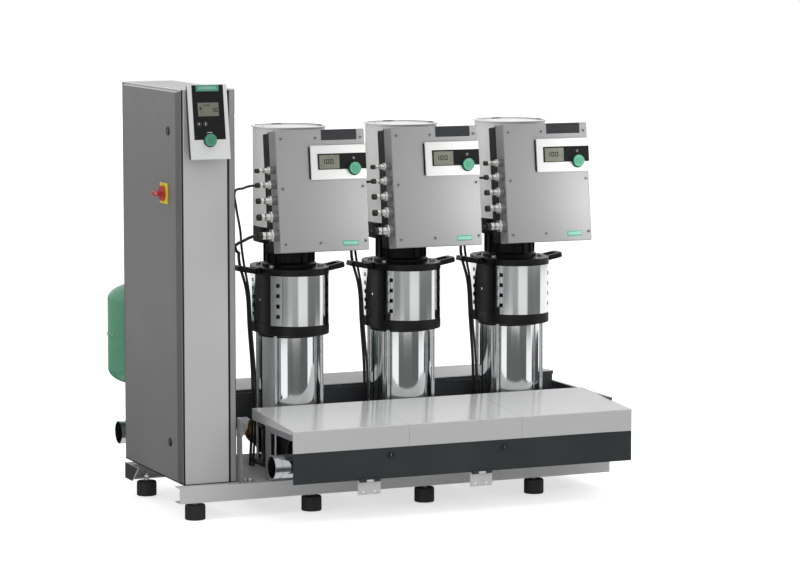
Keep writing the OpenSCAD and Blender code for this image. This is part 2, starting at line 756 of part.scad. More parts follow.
module converter_housings() color("#141414") at_pumps() {
  difference() {
    union() {
      conv_frame() translate([0, lid_d, 0]) {
        into_y(flange_lip) rounded(conv_w, conv_h, lid_r);
        into_y(conv_d) rounded(conv_w - 2 * conv_in, conv_h - 2 * conv_in, lid_r);
      }
      translate([-adapter_w / 2, -conv_reach + lid_d + conv_d / 2, conv_z - adapter_h / 2])
        cube([adapter_w, conv_reach - lid_d - conv_d / 2 - cowl_w / 4, adapter_h]);
    }
    translate([0, 0, conv_z - adapter_h]) linear_extrude(2 * adapter_h)
      rounded(cowl_w + 2 * free, cowl_w + 2 * free, cowl_r + free);
    conv_frame() translate([0, lid_d - past, 0]) into_y(conv_d / 2 + past)
      rounded(conv_w - 4 * conv_in, conv_h - 4 * conv_in, lid_r);
  }
}
module spindle_bore(l) translate([knob_x, -bezel_t - past, knob_up])
  along_y(spindle_d + 2 * run, l + 2 * past);
module converter_lids() color("#a8a8a8") at_pumps() conv_frame() difference() {
  into_y(lid_d) rounded(conv_w, conv_h, lid_r);
  translate([0, lid_t, 0]) into_y(lid_d) rounded(conv_w - 2 * lid_t, conv_h - 2 * lid_t, lid_r - lid_t);
  spindle_bore(bezel_t + lid_t);
}
module converter_panels() color("#e8e8e6") at_pumps() conv_frame() difference() {
  union() {
    translate([conv_w / 2 - bezel_w / 2, -bezel_t + strip_t, bezel_up]) into_y(bezel_t - strip_t)
      rounded(bezel_w, bezel_h, 4);
    translate([conv_w / 2 - strip_w / 2, -bezel_t, strip_up]) into_y(bezel_t) rounded(strip_w, strip_h, 2);
  }
  spindle_bore(bezel_t);
}
module cable_glands() color("#b8babc") at_pumps() conv_frame() for (k = [0 : len(gland_d) - 1])
  translate([-conv_w / 2, gland_y, gland_up[k]]) rotate([0, -90, 0]) {
    cylinder(d = 1.05 * gland_d[k], h = 0.34 * gland_l, $fn = 6);
    cylinder(d = 0.68 * gland_d[k], h = 0.8 * gland_l, $fn = 6);
    cylinder(d = 0.58 * gland_d[k], h = gland_l);
  }
module spindle() {
  far = bezel_t + knob_gap + knob_socket - free;
  translate([0, -far, 0]) along_y(spindle_d, far + spindle_in);
}
module knob() translate([0, -bezel_t - knob_gap - knob_l, 0]) difference() {
  along_y(knob_d, knob_l);
  translate([0, knob_l - knob_socket, 0]) along_y(spindle_d + 2 * run, knob_socket + past);
}
module at_knob(i) at_pump(i) conv_frame() translate([knob_x, 0, knob_up]) children();
module converter_spindle(i) color("#888888") at_knob(i) spindle();
module converter_knob(i) color("#4fa084") at_knob(i) knob();
module pump_cables() color("#1a1a1a") at_pumps() {
  cable(signal_route, signal_d);
  cable(power_route, power_d);
}

module cabinet_body() color("#a6a6a6") place() {
  difference() {
    translate([0, cab_front, deck_z]) cube([cab_w, cab_d, cab_h]);
    translate([-past, cab_front + recess + cab_t, deck_z + cab_t])
      cube([cab_w - cab_t + past, cab_d - recess - 2 * cab_t, cab_h - 2 * cab_t]);
    translate([-past, cab_front - past, deck_z + cab_t])
      cube([cab_w - strip_right + past, recess + past, cab_h - 2 * cab_t]);
  }
  translate([return_x, cab_front + recess + cab_t / 2, deck_z + cab_t / 2])
    cube([cab_t, return_w, cab_h - cab_t]);
  for (z = [deck_z + cab_t / 2, cab_top - cab_t / 2 - pivot_l])
    translate([pivot_x, pivot_y, z]) cylinder(d = pivot_d, h = pivot_l);
}
module cabinet_door() color("#767676") place() difference() {
  translate([0, door_front, door_low]) cube([door_t, door_back - door_front, door_high - door_low]);
  translate([cab_t, door_front + door_rim, door_low + door_rim])
    cube([door_t, door_back - door_front - 2 * door_rim, door_high - door_low - 2 * door_rim]);
  for (z = [door_low - past, door_high - pivot_l])
    translate([pivot_x, pivot_y, z]) cylinder(d = pivot_d + 2 * run, h = pivot_l + past);
  for (z = [deck_z + lock_up, cab_top - lock_down]) translate([-past, lock_y, z])
    along_x(lock_d + 2 * run, door_t);
  translate([-past, switch_y, switch_z]) along_x(switch_shaft + 2 * run, door_t);
}
module cabinet_front_panel() color("#b0b0b0") place()
  translate([panel_left, cab_front, deck_z + cab_t])
    cube([cab_w - panel_left - panel_right, recess, cab_h - 2 * cab_t]);
module switchgear_plate() color("#c8b870") place() {
  board_x = cab_w - cab_t - board_off - board_t;
  board_l = 0.69 * cab_d;
  board_h = 0.8 * cab_h;
  translate([board_x, cab_front + 0.14 * cab_d, deck_z + 0.1 * cab_h]) {
    cube([board_t, board_l, board_h]);
    for (y = [0.05, 0.9], z = [0.02, 0.96]) translate([board_t, y * board_l, z * board_h])
      cube([board_off, 0.05 * board_l, 0.02 * board_h]);
    for (d = devices, k = [0 : d[0] - 1]) translate([-d[1], (d[2] + k * d[3]) * board_l, d[4] * board_h])
      cube([d[1], d[5] * board_l, d[6] * board_h]);
  }
}
module main_switch_plate() color("#e8d24a") place() difference() {
  translate([-switch_t, switch_y - switch_w / 2, switch_z - switch_w / 2])
    cube([switch_t, switch_w, switch_w]);
  translate([-switch_t - past, switch_y, switch_z]) along_x(switch_shaft + 2 * run, switch_t + 2 * past);
}
module main_switch_knob() color("#c03a3a") place() translate([-switch_t - free, switch_y, switch_z]) {
  translate([-switch_base, 0, 0]) along_x(switch_d, switch_base);
  translate([-switch_base - grip_l, -switch_d / 2, -switch_bar / 2])
    cube([grip_l + past, switch_d, switch_bar]);
  translate([-past, 0, 0]) along_x(switch_shaft, switch_t + door_t);
}
module door_lock(z) color("#3c3c3c") place() translate([0, lock_y, z]) {
  back = return_x + cab_t + 0.4;
  translate([-lock_head - free, 0, 0]) along_x(1.3 * lock_d, lock_head);
  translate([-lock_head, 0, 0]) along_x(lock_d, back + tongue_t + lock_head);
  translate([back, -tongue_w / 2, -tongue_w / 2]) cube([tongue_t, tongue_w, tongue_l]);
}
module hmi_housing() color("#1b1b1b") place() difference() {
  hmi_frame() translate([0, hmi_t, 0]) {
    into_y(hmi_body) rounded(hmi_w - 2 * hmi_edge, hmi_h - 2 * hmi_edge, 4);
    into_y(2 * hmi_out + 30) rounded(hmi_w - hmi_stem, hmi_h - hmi_stem, 4);
  }
  translate([-past, cab_front, hmi_z - hmi_h]) cube([cab_w + 2 * past, cab_d, 2 * hmi_h]);
  hmi_frame() translate([0, -past, -hmi_knob_down]) along_y(spindle_d + 6, bezel_t + spindle_in + 4);
}
module hmi_panel() color("#d9d9d9") place() hmi_frame() difference() {
  into_y(hmi_t) rounded(hmi_w, hmi_h, 4);
  translate([0, -past, -hmi_knob_down]) along_y(spindle_d + 2 * run, hmi_t + 2 * past);
}
module at_hmi_knob() place() hmi_frame() translate([0, bezel_t, -hmi_knob_down]) children();
module hmi_spindle() color("#888888") at_hmi_knob() spindle();
module hmi_knob() color("#4fa084") at_hmi_knob() knob();

// Height of a cover's upper face at a distance from its outer edge
function slope(low, rise, y) = low + rise * y / cover_d;
// Cross-section of a cover, its outer edge at zero and its depth to the right
module cover_section(low, rise, drop, lip) polygon([[0, low - drop], [0, low], [cover_d, low + rise],
  [cover_d, low + rise - lip], [cover_d - cover_t, low + rise - lip],
  [cover_d - cover_t, slope(low, rise, cover_d - cover_t) - cover_t],
  [cover_t, slope(low, rise, cover_t) - cover_t], [cover_t, low - drop]]);
module cover(low, rise, drop, lip, relief) {
  w = pump_pitch - cover_gap;
  side_d = cover_d - relief;
  bar_x(w) cover_section(low, rise, drop, lip);
  for (x = [0, w - cover_t]) translate([x, 0, 0]) bar_x(cover_t)
    polygon([[0, low - side_drop], [0, low], [side_d, slope(low, rise, side_d)], [side_d, low - side_drop]]);
}
module front_covers() color("#d8d8d8") place() for (i = [0 : pump_n - 1])
  translate([cover_x + i * pump_pitch, -cover_front, 0]) cover(cover_z, cover_rise, flange_drop, lip_h, 0);
module rear_covers() color("#d8d8d8") place() for (i = [0 : pump_n - 1])
  translate([cover_x + i * pump_pitch, cover_front, 0]) mirror([0, 1, 0])
    cover(rear_z, rear_rise, flange_drop, hem_h, cover_t + panel_t + free);
module skirt_panels() color("#3a3f40") place() {
  translate([side_x, -side_l / 2, deck_z]) cube([panel_t, side_l, side_z - deck_z]);
  translate([side_x - fold_w, -side_l / 2, side_z - panel_t]) cube([fold_w + panel_t, side_l, panel_t]);
  translate([cover_x + support_t, cover_back + cover_t, rear_z + rear_rise - cover_t - hem_h - inner_h])
    cube([cover_end - cover_x - 2 * support_t, panel_t, inner_h]);
}
// A sheet bracket that carries a cover: a post on the rail and an arm under the sheet
module support(low, rise, inner) {
  outer = cover_t;
  top_out = slope(low, rise, outer) - cover_t;
  top_in = slope(low, rise, inner) - cover_t;
  post = cover_front - frame_w / 2 + rail_t;
  bar_x(support_t) polygon([[outer, top_out], [inner, top_in], [inner, top_in - support_h],
    [post + post_w, top_in - support_h], [post + post_w, deck_z], [post, deck_z],
    [post, top_out - support_h], [outer, top_out - support_h]]);
}
module cover_supports() color("#8f8f8f") place() {
  // The first one is inside the covers' left end, and one stands on the right of each cover's middle
  first = cover_x + cover_t + free;
  for (i = [0 : pump_n]) {
    x = i == 0 ? first : cover_x + i * pump_pitch - cover_gap - cover_t - free - support_t;
    translate([x, -cover_front, 0]) support(cover_z, cover_rise, cover_d - cover_t);
    translate([x, cover_front, 0]) mirror([0, 1, 0])
      support(rear_z, rear_rise, cover_d - cover_t - panel_t);
  }
  // Bracket beside the cabinet with its foot and its gusset
  translate([bracket_x, -frame_w / 2 + rail_t, deck_z]) {
    cube([foot_l, post_w, support_t]);
    cube([support_t, post_w, bracket_h]);
    translate([0, post_w, 0]) rotate([90, 0, 0]) linear_extrude(support_t)
      polygon([[0, bracket_h], [gusset_w, bracket_h], [gusset_w, bracket_h - gusset_w],
        [2 * support_t, bracket_h - 2 * gusset_w], [0, bracket_h - 2 * gusset_w]]);
  }
}
function flap_hinge_at(k) = cover_x + hinge_x + k * hinge_pitch;
module front_flap() color("#3a3f40") place() {
  difference() {
    translate([cover_x, -cover_front, flap_z]) cube([cover_end - cover_x - cover_gap, flap_t, flap_h]);
    for (k = [0, 1]) translate([cover_x + flap_lock_x + k * pump_pitch, -cover_front - past, flap_lock_z])
      along_y(flap_lock_d + 2 * run, flap_t + 2 * past);
  }
  for (k = [0, 1], s = [-1, 1]) translate([flap_hinge_at(k) + s * knuckle_l, hinge_y, hinge_z]) {
    translate([-knuckle_l / 2 + 0.5, 0, 0]) along_x(2 * knuckle_r, knuckle_l - 1);
    translate([-knuckle_l / 2 + 0.5, -knuckle_r, 0])
      cube([knuckle_l - 1, knuckle_r + 3 + flap_t, knuckle_r + 3]);
  }
  for (k = [0, 1]) translate([flap_hinge_at(k) - knuckle_l, hinge_y, hinge_z]) along_x(pin_d, 2 * knuckle_l);
}
module flap_hinge_brackets() color("#9a9a9a") place() for (k = [0, 1]) translate([flap_hinge_at(k), 0, 0]) {
  plate_y = -cover_front + flap_t + free;
  difference() {
    union() {
      translate([-hinge_w / 2, plate_y, flap_z - bracket_drop])
        cube([hinge_w, bracket_t, port_z - flap_z + bracket_drop]);
      translate([-clamp_w / 2, -pipe_y, port_z]) along_x(pipe_d + 2 * clamp_t, clamp_w);
      translate([-knuckle_l / 2, hinge_y, hinge_z]) along_x(2 * knuckle_r, knuckle_l);
      translate([-knuckle_l / 2, hinge_y, hinge_z - knuckle_r])
        cube([knuckle_l, plate_y + bracket_t - hinge_y, knuckle_r]);
    }
    translate([-clamp_w, -pipe_y, port_z]) along_x(pipe_d + 2 * run, 2 * clamp_w);
    translate([-knuckle_l, hinge_y, hinge_z]) along_x(pin_d + 2 * run, 2 * knuckle_l);
    for (x = [-hinge_w / 4, hinge_w / 4]) translate([x, plate_y - past, flap_z - 0.8 * bracket_drop])
      along_y(9, bracket_t + 2 * past);
  }
}
module flap_lock(k) color("#2a2a2a") place()
  translate([cover_x + flap_lock_x + k * pump_pitch, -cover_front, flap_lock_z]) {
    back = flap_t + 1;
    translate([0, -4 - free, 0]) along_y(1.5 * flap_lock_d, 4);
    translate([0, -4, 0]) along_y(flap_lock_d, back + tongue_t + 4);
    translate([-tongue_w / 2, back, -tongue_w / 2]) cube([40, tongue_t, tongue_w]);
  }

base_front_rail();
base_rear_rail();
base_cross_members();
rubber_feet();
foot_studs();
suction_manifold();
discharge_manifold();
valve_bodies();
for (i = [0 : pump_n - 1]) {
  suction_lever(i);
  discharge_lever(i);
  rotor(i);
  converter_spindle(i);
  converter_knob(i);
}
membrane_vessel();
vessel_fitting();
pump_feet();
pump_shells();
diffuser_stacks();
tie_rods();
lanterns();
lifting_handles();
coupling_guards();
motor_housings();
motor_cowls();
motor_bearings();
converter_housings();
converter_lids();
converter_panels();
cable_glands();
pump_cables();
cabinet_body();
cabinet_door();
cabinet_front_panel();
switchgear_plate();
main_switch_plate();
main_switch_knob();
door_lock(cab_top - lock_down);  // door_lock_upper
door_lock(deck_z + lock_up);  // door_lock_lower
hmi_housing();
hmi_panel();
hmi_spindle();
hmi_knob();
front_covers();
rear_covers();
skirt_panels();
cover_supports();
front_flap();
flap_hinge_brackets();
flap_lock(0);  // flap_lock_left
flap_lock(1);  // flap_lock_right
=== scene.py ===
import math
import bpy
from mathutils import Matrix, Vector


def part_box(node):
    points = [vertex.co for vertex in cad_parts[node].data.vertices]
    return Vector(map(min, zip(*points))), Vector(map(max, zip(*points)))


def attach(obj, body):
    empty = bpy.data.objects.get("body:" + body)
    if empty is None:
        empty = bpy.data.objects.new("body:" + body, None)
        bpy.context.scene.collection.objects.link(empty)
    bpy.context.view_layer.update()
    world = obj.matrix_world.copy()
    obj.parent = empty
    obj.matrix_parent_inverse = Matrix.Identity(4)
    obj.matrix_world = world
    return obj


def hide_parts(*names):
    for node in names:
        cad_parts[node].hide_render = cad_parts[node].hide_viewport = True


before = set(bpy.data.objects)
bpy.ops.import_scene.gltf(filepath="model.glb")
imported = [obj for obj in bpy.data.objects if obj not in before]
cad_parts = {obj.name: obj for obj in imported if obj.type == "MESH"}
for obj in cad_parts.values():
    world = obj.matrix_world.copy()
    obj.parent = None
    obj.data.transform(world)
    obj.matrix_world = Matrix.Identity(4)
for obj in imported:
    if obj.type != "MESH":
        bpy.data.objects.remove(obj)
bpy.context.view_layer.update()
bpy.ops.object.select_all(action="DESELECT")
print("frame loaded:", len(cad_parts), "nodes")

mm = 0.001
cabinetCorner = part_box("cabinet_body")[0]
pumpX = [454, 854, 1254]  # pump axes from the cabinet's left side, mm
cabinetFront = -232  # the cabinet's front from the pump row, mm


def spot(x, y, z):  # mm from the cabinet's left side, the pump row and the floor
    return Vector((cabinetCorner.x + x * mm, cabinetCorner.y + (y - cabinetFront) * mm, z * mm))


# camera: a long lens from the front left, a little above the set
cameraSet = {"place": (-3405.0, -9806.7, 1903.4), "lens": 145.05, "down": 6.427, "right": 23.460}
cameraTurn = (math.radians(90 - cameraSet["down"]), 0, math.radians(-cameraSet["right"]))
bpy.ops.object.camera_add(location=spot(*cameraSet["place"]), rotation=cameraTurn)
camera = bpy.context.object
camera.data.lens = cameraSet["lens"]
camera.data.sensor_width = 36
camera.data.sensor_fit = "HORIZONTAL"
camera.data.clip_end = 60
bpy.context.scene.camera = camera
bpy.context.scene.view_settings.view_transform = "Standard"


# materials
def linear(hexCode):  # sRGB hex to linear
    parts = [int(hexCode[k:k + 2], 16) / 255 for k in (1, 3, 5)]
    return tuple(p / 12.92 if p <= 0.04045 else ((p + 0.055) / 1.055) ** 2.4 for p in parts) + (1,)


def addNode(tree, kind, settings=None, values=None, links=None):
    node = tree.nodes.new(kind)
    for key, value in (settings or {}).items():
        setattr(node, key, value)
    for key, value in (values or {}).items():
        node.inputs[key].default_value = value
    for key, source in (links or {}).items():
        tree.links.new(source, node.inputs[key])
    return node


def surface(name, colour, rough, metal=0.0, grain=1.0, depth=0.02, patch=120, shade=0.06, streak=(1, 1, 1),
            roughSpread=0.08, spec=0.5):
    # grain and patch are sizes in mm: grain makes the bump, patch the slow change of colour and gloss
    material = bpy.data.materials.new(name)
    material.use_nodes = True
    tree = material.node_tree
    shader = tree.nodes["Principled BSDF"]
    shader.inputs["Metallic"].default_value = metal
    shader.inputs["Specular IOR Level"].default_value = spec
    place = addNode(tree, "ShaderNodeTexCoord")
    turned = addNode(tree, "ShaderNodeMapping", values={"Scale": streak},
                     links={"Vector": place.outputs["Object"]})
    fine = addNode(tree, "ShaderNodeTexNoise", values={"Scale": 1 / (grain * mm), "Detail": 3.0},
                   links={"Vector": turned.outputs["Vector"]})
    slow = addNode(tree, "ShaderNodeTexNoise", values={"Scale": 1 / (patch * mm), "Detail": 4.0},
                   links={"Vector": turned.outputs["Vector"]})
    base = linear(colour)
    low = tuple(c * (1 - shade) for c in base[:3]) + (1,)
    high = tuple(min(1, c * (1 + shade)) for c in base[:3]) + (1,)
    ramp = addNode(tree, "ShaderNodeValToRGB", links={"Fac": slow.outputs["Fac"]})
    ramp.color_ramp.elements[0].position, ramp.color_ramp.elements[0].color = 0.3, low
    ramp.color_ramp.elements[1].position, ramp.color_ramp.elements[1].color = 0.7, high
    tree.links.new(ramp.outputs["Color"], shader.inputs["Base Color"])
    gloss = addNode(tree, "ShaderNodeMapRange", values={"From Min": 0.3, "From Max": 0.7,
                    "To Min": max(0.02, rough - roughSpread), "To Max": min(1, rough + roughSpread)},
                    links={"Value": slow.outputs["Fac"]})
    tree.links.new(gloss.outputs["Result"], shader.inputs["Roughness"])
    bump = addNode(tree, "ShaderNodeBump", values={"Strength": 0.6, "Distance": depth * mm},
                   links={"Height": fine.outputs["Fac"]})
    tree.links.new(bump.outputs["Normal"], shader.inputs["Normal"])
    return material


def powder(name, colour, rough, patch=260, shade=0.02):  # powder coat on sheet steel: fine orange peel, satin
    return surface(name, colour, rough, grain=1.6, depth=0.03, patch=patch, shade=shade)


# powder coats of the cabinet and the rails, with painted shade on the door's slope and painted highlight on
# the rims
doorCoat = powder("doorPowderCoat", "#787878", 0.42, shade=0.025)
frontCoat = powder("frontPowderCoat", "#c0c0c0", 0.4)
# a darker copy of the door's coat for the door's sloped front edge: painted shade
edgeCoat = powder("doorEdgePowderCoat", "#5c5c5c", 0.42, shade=0.025)
topCoat = powder("topPowderCoat", "#ababab", 0.42)
# near-white coat for the rims along the top edges and for the door's top chamfer: painted highlight
rimCoat = powder("rimPowderCoat", "#dcdcdc", 0.4)
bodyCoat = powder("bodyPowderCoat", "#969696", 0.42, shade=0.025)
railCoat = powder("railPowderCoat", "#cacaca", 0.38, patch=180, shade=0.03)
# coats of the covers: smooth silver on top, anthracite on the flap and the skirts
coverCoat = surface("coverSilverCoat", "#c4c4c4", 0.14, grain=2.0, depth=0.006, patch=320, shade=0.015,
                    roughSpread=0.02)
flapCoat = surface("flapAnthraciteCoat", "#2e3435", 0.42, grain=1.4, depth=0.03, patch=200, shade=0.06)
skirtCoat = surface("skirtAnthraciteCoat", "#3a3e3f", 0.48, grain=1.4, depth=0.03, patch=200, shade=0.06)
endCoat = surface("endCapBlack", "#34383a", 0.5, grain=1.2, depth=0.03, patch=80, shade=0.08)
# silver-grey lacquer on a die-cast lid: satin with a faint sparkle
lidCoat = surface("lidSilverLacquer", "#939393", 0.45, grain=0.9, depth=0.02, patch=300, shade=0.02,
                  roughSpread=0.04, spec=0.4)
# black paint on iron castings: grainy satin
castBlack = surface("castIronBlackPaint", "#131313", 0.38, grain=1.2, depth=0.06, patch=60, shade=0.15,
                    spec=0.28)
motorBlack = surface("motorBlackPaint", "#101010", 0.46, grain=1.0, depth=0.08, patch=50, shade=0.15,
                     spec=0.22)


def bright(name, colour, rough, **settings):  # bare metal
    return surface(name, colour, rough, metal=1.0, **settings)


# polished stainless tube and sheet: mirror with faint lines along the tube
polishedSteel = bright("polishedStainless", "#e2e4e4", 0.07, grain=0.6, depth=0.002, patch=40, shade=0.03,
                       streak=(1, 1, 0.02), roughSpread=0.03)
guardSteel = bright("guardStainlessSheet", "#e2e4e4", 0.08, grain=0.6, depth=0.004, patch=40, shade=0.03,
                    streak=(1, 1, 0.02), roughSpread=0.02)
# other metals: drawn, zinc-plated, pickled, nickel-plated and forged
drawnSteel = bright("drawnSteelRod", "#dcdede", 0.18, grain=0.5, depth=0.006, patch=20, shade=0.05)
zincSteel = bright("zincPlatedSteel", "#bfc2c4", 0.3, grain=0.8, depth=0.01, patch=30, shade=0.03)
bracketZinc = surface("bracketZincSheet", "#a6a8aa", 0.4, metal=0.6, grain=1.2, depth=0.01, patch=90,
                      shade=0.03)
pipeSteel = bright("pickledStainlessPipe", "#b4b6b7", 0.2, grain=0.8, depth=0.01, patch=70, shade=0.07)
nickelBrass = bright("nickelPlatedBrass", "#d6d6d2", 0.28, grain=0.6, depth=0.006, patch=10, shade=0.06)
brassBody = bright("forgedBrass", "#a8905a", 0.36, grain=1.0, depth=0.03, patch=25, shade=0.12)
darkSteel = bright("screwSteel", "#8a8b8c", 0.35, grain=0.6, depth=0.01, patch=6, shade=0.1)
# moulded plastics
bezelWhite = surface("bezelWhiteAbs", "#d0d0cf", 0.4, grain=0.8, depth=0.02, patch=90, shade=0.012)
cowlGrey = surface("cowlWhiteAbs", "#f0f0ef", 0.42, grain=1.0, depth=0.03, patch=150, shade=0.015)
stripBlack = surface("displayBlackAcrylic", "#0f1011", 0.4, grain=3.0, depth=0.003, patch=60, shade=0.05,
                     roughSpread=0.03, spec=0.2)
windowDark = surface("windowSmokedPlate", "#202223", 0.42, grain=3.0, depth=0.003, patch=60, shade=0.06)
lcdGlass = surface("displayOliveGlass", "#6a6d5f", 0.3, grain=0.7, depth=0.002, patch=40, shade=0.05)
lcdInk = surface("displayDarkSegments", "#1c1e1a", 0.4, grain=0.7, depth=0.002, patch=20, shade=0.08)
iconPaint = surface("keyPaleMark", "#c9cbc9", 0.5, grain=0.6, depth=0.004, patch=8, shade=0.05)
knobGreen = surface("knobTurquoiseAbs", "#3c8267", 0.36, grain=0.7, depth=0.02, patch=14, shade=0.05)
knobRim = surface("knobRimPaleAbs", "#4b8e74", 0.36, grain=0.7, depth=0.02, patch=14, shade=0.05)
badgeGreen = surface("badgeTurquoiseFilm", "#4a8f79", 0.34, grain=1.0, depth=0.006, patch=30, shade=0.04)
badgePale = surface("badgePaleFilm", "#7db09e", 0.34, grain=1.0, depth=0.006, patch=30, shade=0.04)
vesselGreen = surface("vesselGreenEnamel", "#5b9a7b", 0.34, grain=1.8, depth=0.04, patch=120, shade=0.04)
# dark grey for the glands' seats on the lid's side: painted shade round each gland's base
glandDark = surface("glandDarkPolyamide", "#5a5a5c", 0.45, grain=0.8, depth=0.02, patch=12, shade=0.08)
plasticBlack = surface("housingBlackAbs", "#191a1a", 0.42, grain=0.8, depth=0.03, patch=40, shade=0.1)
panelSilver = surface("panelSilverAbs", "#d8d9d9", 0.4, grain=0.8, depth=0.015, patch=90, shade=0.015)
switchYellow = surface("switchYellowAbs", "#e2cb33", 0.4, grain=0.8, depth=0.02, patch=30, shade=0.03)
switchRed = surface("switchRedAbs", "#bf3236", 0.34, grain=0.8, depth=0.02, patch=20, shade=0.05)
leverRed = surface("leverRedVinyl", "#b02c28", 0.5, grain=1.0, depth=0.05, patch=25, shade=0.06)
footRubber = surface("footBlackRubber", "#1f2020", 0.66, grain=1.0, depth=0.08, patch=25, shade=0.12)
cableBlack = surface("cableBlackPvc", "#151515", 0.4, grain=0.9, depth=0.03, patch=15, shade=0.1)
wiringGrey = surface("switchgearGreyPc", "#9fa3a1", 0.45, grain=1.0, depth=0.02, patch=40, shade=0.04)
# black foam for the seals, also laid in gaps where it is painted shade
rubberSeal = surface("doorSealFoam", "#1d1d1d", 0.8, grain=0.8, depth=0.15, patch=12, shade=0.15)
print("materials ready:", len(bpy.data.materials))


# small modelling helpers
def alone(obj):
    bpy.ops.object.select_all(action="DESELECT")
    obj.select_set(True)
    bpy.context.view_layer.objects.active = obj
    return obj


def applied(obj, kind, **settings):
    alone(obj)
    modifier = obj.modifiers.new(kind.title(), kind)
    for key, value in settings.items():
        setattr(modifier, key, value)
    bpy.ops.object.modifier_apply(modifier=modifier.name)
    return obj


def rounded(obj, width, segments=2, angle=30):
    return applied(obj, "BEVEL", width=width * mm, segments=segments, limit_method="ANGLE",
                   angle_limit=math.radians(angle), harden_normals=False)


def settle(obj):  # the place goes into the mesh
    alone(obj)
    bpy.ops.object.transform_apply(location=True, rotation=True, scale=True)
    return obj


def wear(obj, material):
    obj.data.materials.clear()
    obj.data.materials.append(material)
    return obj


def block(low, high, material, bevel=0.0, segments=2):  # mm, in the helper's own frame
    centre = [(a + b) / 2 * mm for a, b in zip(low, high)]
    bpy.ops.object.select_all(action="DESELECT")
    bpy.ops.mesh.primitive_cube_add(size=1, location=centre)
    obj = bpy.context.object
    obj.scale = [(b - a) * mm for a, b in zip(low, high)]
    settle(obj)
    if bevel:
        rounded(obj, bevel, segments)
    return wear(obj, material)


turns = {"x": (0, math.radians(90), 0), "y": (math.radians(90), 0, 0), "z": (0, 0, 0)}


def barrel(axis, radius, start, length, material, sides=40, bevel=0.0):
    shift = {"x": (length / 2, 0, 0), "y": (0, length / 2, 0), "z": (0, 0, length / 2)}[axis]
    centre = [(a + b) * mm for a, b in zip(start, shift)]
    bpy.ops.object.select_all(action="DESELECT")
    bpy.ops.mesh.primitive_cylinder_add(vertices=sides, radius=radius * mm, depth=length * mm,
                                        location=centre, rotation=turns[axis])
    obj = settle(bpy.context.object)
    if bevel:
        rounded(obj, bevel, 2, 50)
    return wear(obj, material)


def sketched(name, points, edges, faces):  # mm
    mesh = bpy.data.meshes.new(name)
    mesh.from_pydata([tuple(c * mm for c in p) for p in points], edges, faces)
    obj = bpy.data.objects.new(name, mesh)
    bpy.context.scene.collection.objects.link(obj)
    return alone(obj)


def fromOutline(points, height, material, bevel=0.0, base=0.0):  # a flat outline in mm, pulled up along Z
    obj = sketched("outline", [(x, y, base) for x, y in points], [], [list(range(len(points)))])
    bpy.ops.object.mode_set(mode="EDIT")
    bpy.ops.mesh.select_all(action="SELECT")
    bpy.ops.mesh.extrude_region_move(TRANSFORM_OT_translate={"value": (0, 0, height * mm)})
    bpy.ops.mesh.select_all(action="SELECT")
    bpy.ops.mesh.normals_make_consistent(inside=False)
    bpy.ops.object.mode_set(mode="OBJECT")
    if bevel:
        rounded(obj, bevel, 2, 50)
    return wear(obj, material)


def spun(profile, material, at=(0, 0), steps=72):  # radius and height pairs in mm, spun round a vertical axis
    edges = [(k, k + 1) for k in range(len(profile) - 1)]
    if profile[0][0] > 0 and profile[-1][0] > 0:
        edges.append((len(profile) - 1, 0))
    obj = sketched("profile", [(r, 0, z) for r, z in profile], edges, [])
    applied(obj, "SCREW", angle=math.radians(360), steps=steps, render_steps=steps, axis="Z",
            use_merge_vertices=True, merge_threshold=0.00001, use_normal_calculate=True)
    alone(obj)
    bpy.ops.object.mode_set(mode="EDIT")
    bpy.ops.mesh.select_all(action="SELECT")
    bpy.ops.mesh.remove_doubles(threshold=0.00001)
    bpy.ops.mesh.normals_make_consistent(inside=False)
    bpy.ops.object.mode_set(mode="OBJECT")
    obj.data.transform(Matrix.Translation((at[0] * mm, at[1] * mm, 0)))
    return wear(obj, material)


def carved(obj, cutter):
    applied(obj, "BOOLEAN", operation="DIFFERENCE", solver="EXACT", material_mode="TRANSFER", object=cutter)
    bpy.data.objects.remove(cutter)
    return obj


def merged(name, pieces):
    bpy.ops.object.select_all(action="DESELECT")
    for piece in pieces:
        piece.select_set(True)
    bpy.context.view_layer.objects.active = pieces[0]
    if len(pieces) > 1:
        bpy.ops.object.join()
    obj = bpy.context.view_layer.objects.active
    obj.name = name
    obj.data.name = name
    return obj


def moved(obj, matrix):
    obj.data.transform(matrix)
    if matrix.determinant() < 0:
        obj.data.flip_normals()
    return obj


def copied(obj, matrix):
    twin = obj.copy()
    twin.data = obj.data.copy()
    bpy.context.scene.collection.objects.link(twin)
    twin.data.transform(matrix)
    return twin


def slid(x=0, y=0, z=0):
    return Matrix.Translation((x * mm, y * mm, z * mm))


def rotated(degrees, axis):
    return Matrix.Rotation(math.radians(degrees), 4, axis)


setPlace = Matrix.Translation(spot(0, 0, 0))


def finished(pieces, name, slot, *replaced, body="set_frame", place=Matrix(), smooth=32):
    obj = moved(moved(merged(name, pieces), place), setPlace)
    alone(obj)
    bpy.ops.object.shade_smooth_by_angle(angle=math.radians(smooth))
    applied(obj, "WEIGHTED_NORMAL", keep_sharp=True)  # flat faces stay level between their rounded edges
    obj.select_set(False)
    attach(obj, body)
    if replaced:
        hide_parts(*replaced)
    return obj


def forPumps(pieces, name, slot, *replaced, place=Matrix(), smooth=32):  # modelled round the pump's own axis
    first = moved(merged(name, pieces), place)
    row = [first] + [copied(first, slid(x)) for x in pumpX[1:]]
    moved(first, slid(pumpX[0]))
    return finished(row, name, slot, *replaced, smooth=smooth)


def hexagon(axis, across, start, length, material, bevel=0.6):
    return barrel(axis, across / math.sqrt(3), start, length, material, sides=6, bevel=bevel)


